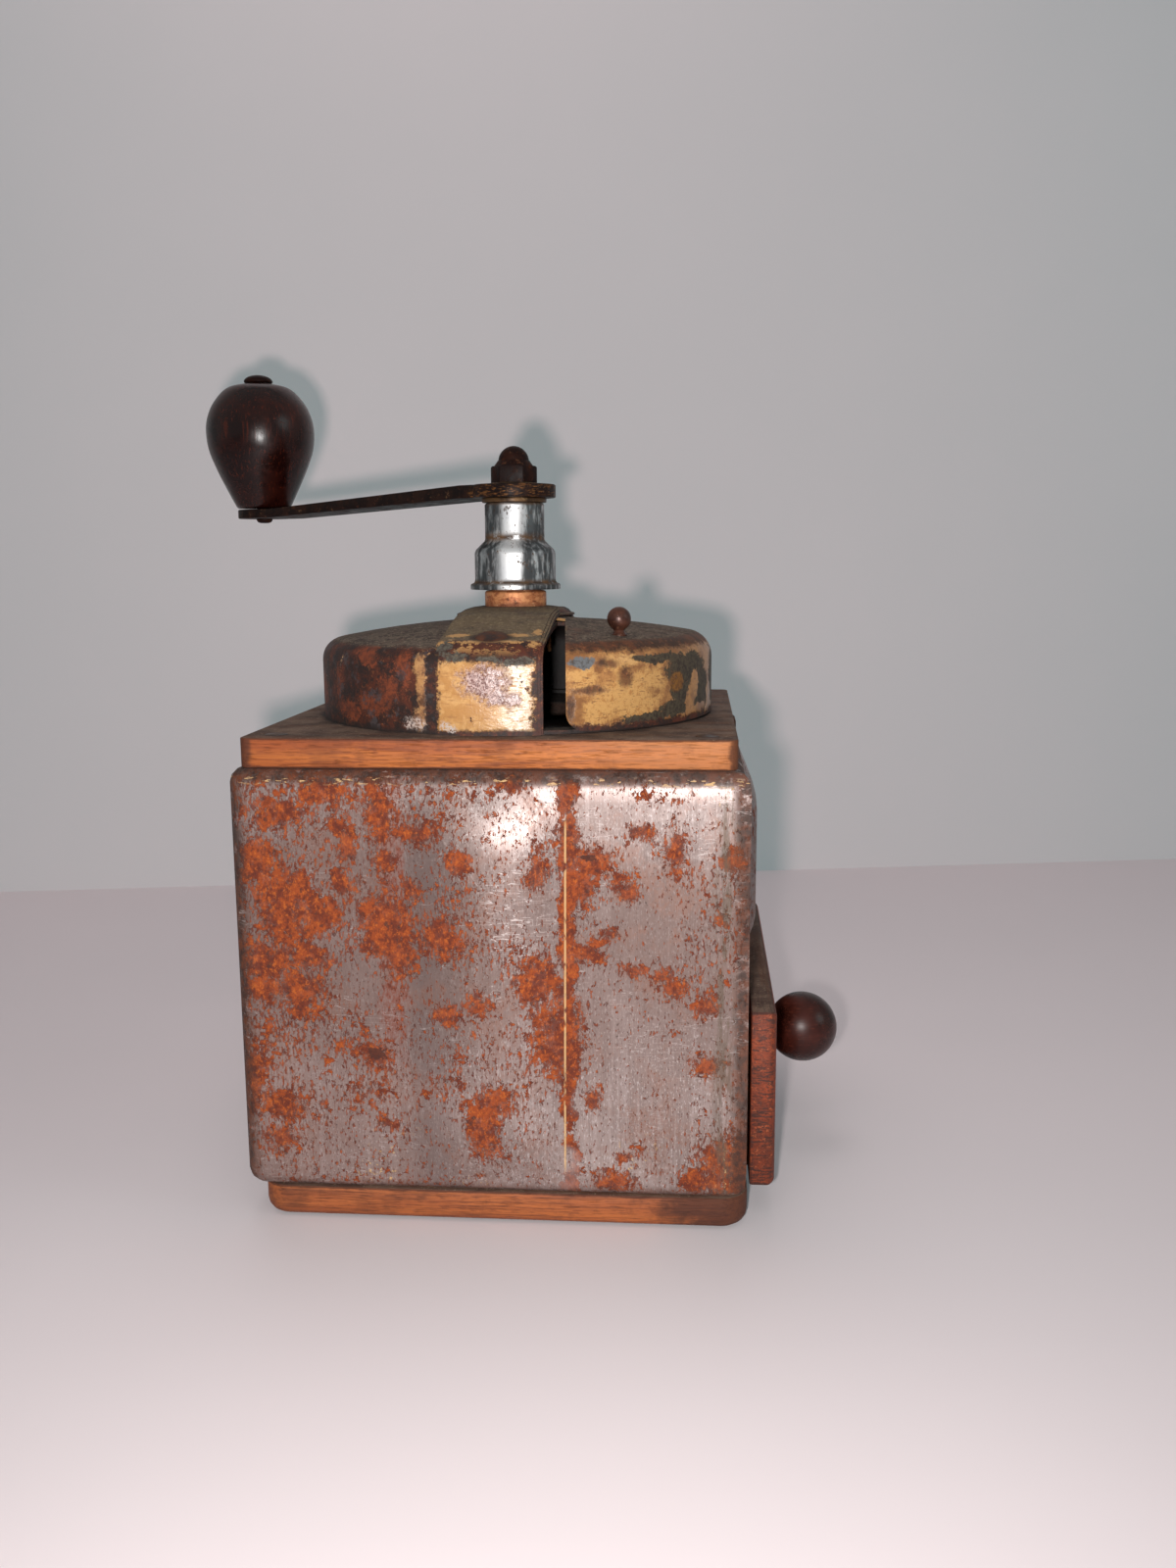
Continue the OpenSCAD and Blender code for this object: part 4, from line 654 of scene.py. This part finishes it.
def chrome_look():
    """The bell: worn chrome with painted dark reflections down its sides and rust round its shoulders."""
    k = Look("bell_plating")
    pits = k.ramp(k.m("ADD", k.noise((0.7, 0.7, 1.1), 3, 0.7, 91),
                      k.ramp(k.noise(4, 2, 0.6, 97), 0.45, 0.65, -0.02, 0.05)), 0.62, 0.66)
    haze = k.noise(6, 4, 0.6, 92)
    shoulder = k.mul(k.most(k.near(k.z, 148.5, 1.7), k.near(k.z, 138.0, 1.1),
                            k.mul(k.near(k.z, 156.6, 1.0), 0.9)),
                     k.ramp(k.noise((3, 3, 1.6), 5, 0.78, 93), 0.34, 0.50))
    spots = k.ramp(k.noise(2.6, 4, 0.7, 94), 0.64, 0.68)
    rust = k.most(k.mul(pits, 0.8), shoulder, k.mul(spots, 0.9))
    # painted reflection: the bell's sides are made dark in streaks, as chrome shows a dark room there
    side = k.ramp(k.m("ADD", k.m("ABSOLUTE", k.x), k.centred(k.noise((3.2, 3.2, 14), 3, 0.6, 96), 3.4)),
                  1.3, 3.6)
    painted_dark_sides = k.mul(side, k.ramp(k.noise((1.3, 1.3, 5), 3, 0.6, 98), 0.30, 0.55, 0.5, 1.0))
    col = k.mix(k.ramp(haze, 0.4, 0.65), rgb(252, 251, 251), rgb(232, 232, 234))
    col = k.mix(k.mul(painted_dark_sides, 0.95), col, rgb(56, 58, 60))
    col = k.mix(rust, col, k.mix(k.ramp(haze, 0.4, 0.6), rgb(96, 68, 42), rgb(58, 42, 32)))
    k.set("Base Color", col)
    k.set("Metallic", k.ramp(rust, 0, 1, 0.72, 0.1))
    k.set("Roughness", k.blend(rust, k.ramp(haze, 0.35, 0.7, 0.35, 0.42), 0.75))
    k.set("Normal", k.bump(rust, 0.06, 0.8, k.bump(k.noise((5, 5, 7), 3, 0.6, 95), 0.12, 0.35)))
    return k


def copper_neck():
    """The neck: copper-coloured metal with brown rust rings."""
    k = Look("neck_rust")
    t = k.noise((2.2, 2.2, 1.3), 5, 0.72, 101)
    f = k.noise(0.8, 3, 0.7, 102)
    col = k.mix(k.ramp(t, 0.40, 0.58), rgb(222, 152, 100), rgb(178, 106, 66))
    dark = k.most(k.ramp(t, 0.57, 0.63), k.mul(k.near(k.z, 132.6, 1.0), 0.7),
                  k.mul(k.near(k.z, 136.2, 0.8), 0.8))
    col = k.mix(k.mul(dark, 0.85), col, rgb(92, 52, 36))
    col = k.mix(k.ramp(f, 0.6, 0.7, 0, 0.6), col, rgb(226, 176, 134))
    k.set("Base Color", col)
    k.set("Metallic", k.ramp(dark, 0, 1, 0.35, 0.0))
    k.set("Roughness", k.blend(dark, 0.5, 0.82))
    k.set("Normal", k.bump(k.m("ADD", t, k.m("MULTIPLY", f, 0.5)), 0.2, 0.8))
    return k


def patina(name, base, warm, pale, metal, rough, seed, wear_amount, hub=False, spec=0.5):
    """Dark oxidised steel with warm brown bloom and small bright rubs."""
    k = Look(name, spec=spec)
    t = k.noise(4.5, 5, 0.68, seed)
    f = k.noise(1.2, 3, 0.7, seed + 1)
    col = k.mix(k.ramp(t, 0.40, 0.62), base, warm)
    rub = k.mul(k.ramp(f, 0.58, 0.68), k.ramp(k.noise(7, 3, 0.6, seed + 2), 0.45, 0.60), wear_amount)
    col = k.mix(rub, col, pale)
    crust = k.ramp(k.noise(1.6, 4, 0.75, seed + 3), 0.60, 0.67)
    col = k.mix(k.mul(crust, 0.55), col, rgb(92, 52, 34))
    if hub:  # brass-brown where hands and the washer have rubbed the rim of the hub, and brightened there as a painted highlight
        near_hub = k.ramp(k.spots([(0, 0, 10.5, 10.5)], k.mm, "xy"), 1.12, 0.98)
        rubbed_and_glint = k.mul(near_hub, k.ramp(k.noise((1.6, 1.6, 0.35), 4, 0.75, seed + 5), 0.50, 0.66),
                     k.ramp(k.nz, 0.7, 0.3))
        col = k.mix(k.mul(rubbed_and_glint, 0.85), col, rgb(130, 86, 48))
    k.set("Base Color", col)
    k.set("Metallic", k.ramp(crust, 0, 1, metal, 0.1))
    k.set("Roughness", k.m("ADD", k.ramp(t, 0.35, 0.65, rough - 0.08, rough + 0.14), k.mul(crust, 0.2)))
    k.set("Normal", k.bump(k.m("ADD", f, k.m("MULTIPLY", crust, 0.6)), 0.10, 0.7))
    return k


def lacquer(name, dark, red, pale, seed, rough=0.24, along=(0.5, 0.5, 14)):
    """Turned wood under old dark lacquer: faint grain, worn streaks and small scratches."""
    k = Look(name, spec=0.34)
    grain = k.noise(along, 3, 0.6, seed)
    cloud = k.noise(9, 4, 0.6, seed + 1)
    col = k.mix(k.ramp(cloud, 0.38, 0.66), dark, red)
    col = k.mix(k.ramp(grain, 0.54, 0.74, 0, 0.55), col, pale)
    scuff = k.mul(k.ramp(k.noise((1.4, 1.4, 0.5), 3, 0.7, seed + 2), 0.62, 0.68),
                  k.ramp(k.noise(8, 2, 0.5, seed + 3), 0.48, 0.62))
    col = k.mix(k.mul(scuff, 0.5), col, pale)
    k.set("Base Color", col)
    k.set("Roughness", k.m("ADD", k.ramp(cloud, 0.35, 0.65, rough, rough + 0.14), k.mul(scuff, 0.25)))
    k.set("Normal", k.bump(k.m("ADD", k.m("MULTIPLY", grain, 0.6), k.m("MULTIPLY", scuff, -0.6)), 0.05,
                           0.7))
    return k


# ---------------------------------------------------------------- dress the CAD nodes

base_wood = wood("base_board_beech", "x", rgb(182, 102, 50), rgb(150, 77, 38), rgb(98, 47, 25),
                 rgb(68, 36, 25), seed=201, dusty=0.8, dirt_amount=0.65,
                 edges=(("x", -54, 4), ("x", 57, 40), ("z", 7.6, 1.2), ("z", 0, 0.9)))
top_wood = wood("top_board_beech", "x", rgb(190, 109, 44), rgb(152, 74, 27), rgb(102, 45, 19),
                rgb(72, 35, 21), seed=211, dusty=1.0, dirt_amount=0.45,
                edges=(("z", 106.9, 0.9), ("z", 100.5, 0.8), ("x", -52.3, 5), ("x", 52.3, 4)),
                hopper=True, bleached=rgb(218, 146, 84))
drawer_wood = wood("drawer_front_beech", "y", rgb(148, 61, 24), rgb(108, 43, 20), rgb(66, 28, 18),
                   rgb(48, 28, 23), seed=221, dusty=0.9, dirt_amount=0.5,
                   edges=(("z", 47.3, 1.4), ("z", 7.3, 1.6)), ends=True)
inner_wood = wood("drawer_box_beech", "y", rgb(188, 138, 96), rgb(160, 112, 76), rgb(120, 80, 54),
                  rgb(72, 48, 36), seed=231, dusty=0.25, dirt_amount=0.55)
side_wood = wood("drawer_side_beech", "x", rgb(186, 136, 94), rgb(158, 110, 74), rgb(118, 78, 52),
                 rgb(72, 48, 36), seed=241, dusty=0.25, dirt_amount=0.55)
case = steel_case()
cover_l = dome_cover_look()
bridge_l = bridge_look()
door_l = door_look()
chrome = chrome_look()
neck = copper_neck()
arm_l = patina("arm_patina", rgb(25, 16, 15), rgb(44, 27, 21), rgb(138, 104, 76),
               metal=0.2, rough=0.46, seed=111, wear_amount=0.40, hub=True, spec=0.14)
nut_l = patina("nut_patina", rgb(27, 13, 11), rgb(45, 23, 16), rgb(124, 84, 60),
               metal=0.0, rough=0.5, seed=121, wear_amount=0.35, spec=0.10)
washer_l = patina("washer_patina", rgb(66, 48, 34), rgb(104, 76, 48), rgb(180, 148, 104),
                  metal=0.6, rough=0.42, seed=124, wear_amount=0.6)
steel_l = patina("spindle_steel", rgb(96, 86, 80), rgb(120, 92, 72), rgb(186, 176, 168),
                 metal=0.85, rough=0.34, seed=127, wear_amount=0.6)
iron_l = patina("burr_iron", rgb(52, 47, 45), rgb(84, 64, 54), rgb(150, 142, 136),
                metal=0.75, rough=0.46, seed=128, wear_amount=0.6)
screw_l = patina("screw_patina", rgb(58, 44, 38), rgb(96, 66, 48), rgb(170, 148, 124),
                 metal=0.7, rough=0.42, seed=129, wear_amount=0.5)
spring_l = patina("spring_steel", rgb(92, 88, 86), rgb(112, 86, 70), rgb(190, 186, 182),
                  metal=0.9, rough=0.32, seed=130, wear_amount=0.5)
brass_l = patina("knob_brass", rgb(66, 38, 30), rgb(92, 54, 40), rgb(150, 104, 78),
                 metal=0.35, rough=0.36, seed=132, wear_amount=0.4)
rivet_l = patina("rivet_rust", rgb(46, 30, 25), rgb(92, 54, 36), rgb(150, 112, 80),
                 metal=0.2, rough=0.6, seed=133, wear_amount=0.4)
grip_l = lacquer("grip_lacquer", rgb(24, 5, 4), rgb(42, 11, 5), rgb(104, 40, 18), seed=141, rough=0.20)
knob_l = lacquer("drawer_knob_lacquer", rgb(42, 15, 10), rgb(66, 26, 18), rgb(98, 46, 32), seed=151,
                 rough=0.24, along=(14, 0.5, 0.5))

DRESS = {
    "base_board": (base_wood, 0.7), "top_board": (top_wood, 0.6), "drawer_front": (drawer_wood, 0.7),
    "drawer_sides": (side_wood, 0.3), "drawer_back": (inner_wood, 0.3), "drawer_bottom": (side_wood, 0.2),
    "drawer_guides": (side_wood, 0.3),
    "case_wrap": (case, 0), "case_side_panel": (case, 0),
    "dome_cover": (cover_l, 0), "dome_bridge": (bridge_l, 0), "dome_door": (door_l, 0),
    "neck_bush": (neck, 0.15), "adjuster_bell": (chrome, 0.15), "adjuster_nut": (steel_l, 0.1),
    "crank_washer": (washer_l, 0.15), "nut_washer": (washer_l, 0.12), "crank_arm": (arm_l, 0.3),
    "spindle": (steel_l, 0), "cap_nut": (nut_l, 0.25), "handle_pin": (nut_l, 0.1),
         "handle_knob": (grip_l, 0),
    "drawer_knob": (knob_l, 0), "drawer_knob_screw": (screw_l, 0), "door_knob": (brass_l, 0),
    "bridge_rivets": (rivet_l, 0), "board_screws": (screw_l, 0.1), "burr_screws": (screw_l, 0),
    "outer_burr": (iron_l, 0), "inner_burr": (iron_l, 0), "lower_bar": (iron_l, 0.2),
         "spindle_spring": (spring_l, 0),
}
for name, (look, bevel) in DRESS.items():
    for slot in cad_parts[name].material_slots:
        slot.material = look.mat
    finish_surface(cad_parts[name], bevel)


# ---------------------------------------------------------------- the shutter's knob

def lathe(name, profile, place, look, steps=40):
    """Turned piece from (radius, height) points in mm, standing on place."""
    bm = bmesh.new()
    rings = []
    for radius, height in profile:
        turns = [2 * math.pi * i / steps for i in range(1 if radius == 0 else steps)]
        rings.append([bm.verts.new((radius / 1000 * math.cos(t), radius / 1000 * math.sin(t),
                                    height / 1000))
                      for t in turns])
    for a, b in zip(rings, rings[1:]):
        for i in range(steps):
            j = (i + 1) % steps
            if len(b) == 1:
                bm.faces.new([a[i], a[j], b[0]])
            elif len(a) == 1:
                bm.faces.new([a[0], b[j], b[i]])
            else:
                bm.faces.new([a[i], a[j], b[j], b[i]])
    bm.normal_update()
    mesh = bpy.data.meshes.new(name)
    bm.to_mesh(mesh)
    bm.free()
    mesh.materials.append(look.mat)
    piece = bpy.data.objects.new(name, mesh)
    bpy.context.scene.collection.objects.link(piece)
    piece.location = place
    finish_surface(piece)
    return piece


BALL_R, KNOB_H, STEM_R = 2.65, 6.3, 1.15  # mm
BALL_Z = KNOB_H - BALL_R
knob_lo, knob_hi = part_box("door_knob")
knob_foot = ((knob_lo.x + knob_hi.x) / 2, (knob_lo.y + knob_hi.y) / 2, knob_hi.z - KNOB_H / 1000)
knob_profile = [(0, -0.15), (1.75, -0.15), (1.80, 0.25), (1.35, 0.62), (STEM_R, 1.1)]
for degrees in range(30, 180, 10):
    t = math.radians(degrees)
    knob_profile.append((BALL_R * math.sin(t), BALL_Z - BALL_R * math.cos(t)))
knob_profile.append((0, KNOB_H))
ball = lathe("door_knob_ball", knob_profile, knob_foot, brass_l)
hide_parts("door_knob")
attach(ball, "shutter")


# ---------------------------------------------------------------- stage

def stage_sheet(name, corners, material):
    """A flat sheet of the stage through its corners."""
    mesh = bpy.data.meshes.new(name)
    bm = bmesh.new()
    bm.faces.new([bm.verts.new(corner) for corner in corners])
    bm.to_mesh(mesh)
    bm.free()
    sheet = bpy.data.objects.new(name, mesh)
    bpy.context.scene.collection.objects.link(sheet)
    mesh.materials.append(material)


def seen_directly(tree):
    """1 for camera, mirror and see-through rays, 0 for the rays that light things."""
    path = tree.nodes.new("ShaderNodeLightPath")
    seen = path.outputs["Is Camera Ray"]
    for kind in ("Is Glossy Ray", "Is Transmission Ray"):
        most = tree.nodes.new("ShaderNodeMath")
        most.operation = "MAXIMUM"
        tree.links.new(seen, most.inputs[0])
        tree.links.new(path.outputs[kind], most.inputs[1])
        seen = most.outputs[0]
    return seen


def stage_look(name, colour, rough, glow, one_sided=False):
    """Pale plain surface that keeps the object's shadow. glow lifts it only where it is seen."""
    k = Look(name, rough=rough, spec=0.3)
    tone = k.noise(160, 3, 0.5, 3)
    k.set("Base Color", k.mix(k.ramp(tone, 0.3, 0.7), tuple(c * 0.97 for c in colour), colour))
    k.set("Normal", k.bump(k.noise(1.4, 2, 0.5, 4), 0.02, 0.3))
    lift = k.new("ShaderNodeEmission")
    k.feed(lift.inputs["Color"], glow)
    k.link(seen_directly(k.tree), lift.inputs["Strength"])
    lifted = k.new("ShaderNodeAddShader")
    k.link(k.bsdf.outputs[0], lifted.inputs[0])
    k.link(lift.outputs[0], lifted.inputs[1])
    last = lifted.outputs[0]
    if one_sided:  # clear from behind, so that it doesn't hide the object's rear
        side = k.new("ShaderNodeNewGeometry")
        clear = k.new("ShaderNodeBsdfTransparent")
        either = k.new("ShaderNodeMixShader")
        k.link(side.outputs["Backfacing"], either.inputs[0])
        k.link(last, either.inputs[1])
        k.link(clear.outputs[0], either.inputs[2])
        last = either.outputs[0]
    k.link(last, k.out.inputs[0])
    return k.mat


WALL_LEFT = Vector((-0.2194, 0.2331, 0))  # two points of the line where the wall meets the floor
WALL_RIGHT = Vector((0.2245, 0.3100, 0))
WALL_PAST, WALL_H = 1.2, 1.3  # how far the wall runs past them, and its height, m
FLOOR_NEAR = Vector((0.35, -2.2, 0))  # from the wall's foot to the floor's near edge
FLOOR_Z = Vector((0, 0, -0.0002))

wall_way = (WALL_RIGHT - WALL_LEFT).normalized()
foot_left = WALL_LEFT - wall_way * WALL_PAST + FLOOR_Z
foot_right = WALL_RIGHT + wall_way * WALL_PAST + FLOOR_Z
wall_up = Vector((0, 0, WALL_H)) - FLOOR_Z
floor_look = stage_look("floor_white", (0.76, 0.66, 0.67), 0.5, (0.04, 0.065, 0.07))
wall_look = stage_look("wall_pale", (0.88, 0.62, 0.63), 0.6, (0.0, 0.115, 0.118), one_sided=True)
stage_sheet("floor", [foot_left, foot_left + FLOOR_NEAR, foot_right + FLOOR_NEAR, foot_right], floor_look)
stage_sheet("wall", [foot_left, foot_right, foot_right + wall_up, foot_left + wall_up], wall_look)


# ---------------------------------------------------------------- light

def lamp(name, place, target_z, size, power, colour, mirrored=True):
    """A round area lamp that points at the object's axis at the height target_z."""
    data = bpy.data.lights.new(name, "AREA")
    data.shape = "DISK"
    data.size = size
    data.energy = power
    data.color = colour
    obj = bpy.data.objects.new(name, data)
    bpy.context.scene.collection.objects.link(obj)
    obj.location = place
    obj.rotation_mode = "QUATERNION"
    obj.rotation_quaternion = (Vector((0, 0, target_z)) - Vector(place)).to_track_quat("-Z", "Y")
    obj.visible_glossy = mirrored
    obj.visible_camera = False


# the key stands beside the camera, as a phone's flash does, and the others fill its shadows
lamp("key", (0.031, -0.319, 0.132), 0.075, 0.010, 0.78, (1.0, 0.98, 0.965))
lamp("soft_top", (0.05, -0.45, 0.85), 0.08, 0.6, 0.9, (1.0, 1.0, 1.0), mirrored=False)
lamp("soft_back", (-0.05, 0.16, 0.62), 0.08, 0.35, 0.70, (1.0, 1.0, 1.0), mirrored=False)
lamp("soft_right", (0.75, -0.25, 0.45), 0.08, 0.4, 0.5, (0.86, 1.0, 1.0))

ROOM_LIGHT, ROOM_SEEN = 0.09, 0.36  # what the room casts on things, and how bright it looks itself
world = bpy.data.worlds.new("room")
bpy.context.scene.world = world
world.use_nodes = True
room = world.node_tree.nodes["Background"]
room.inputs["Color"].default_value = (0.95, 1.0, 1.0, 1)
strength = world.node_tree.nodes.new("ShaderNodeMath")
strength.operation = "MULTIPLY_ADD"
world.node_tree.links.new(seen_directly(world.node_tree), strength.inputs[0])
strength.inputs[1].default_value = ROOM_SEEN - ROOM_LIGHT
strength.inputs[2].default_value = ROOM_LIGHT
world.node_tree.links.new(strength.outputs[0], room.inputs["Strength"])

# ---------------------------------------------------------------- camera

# fitted to the photograph: the edges of the boards and of the case fall where they do in it
YAW, PITCH, ROLL = math.radians(-4.59), math.radians(9.71), math.radians(-0.37)
CAMERA_AT = Vector((0.04328, -0.32445, 0.14433))

ahead = Vector((math.sin(YAW) * math.cos(PITCH), math.cos(YAW) * math.cos(PITCH), -math.sin(PITCH)))
level = Vector((math.cos(YAW), -math.sin(YAW), 0))
above = level.cross(ahead)
right = level * math.cos(ROLL) + above * math.sin(ROLL)
up = above * math.cos(ROLL) - level * math.sin(ROLL)
lens = bpy.data.cameras.new("camera")
lens.lens = 30.75
lens.sensor_width = 36
lens.sensor_fit = "AUTO"
lens.clip_start = 0.01
lens.clip_end = 20
camera = bpy.data.objects.new("camera", lens)
bpy.context.scene.collection.objects.link(camera)
turned = Matrix((right, up, -ahead)).transposed().to_4x4()
turned.translation = CAMERA_AT
camera.matrix_world = turned
bpy.context.scene.camera = camera
bpy.context.scene.view_settings.view_transform = "Standard"
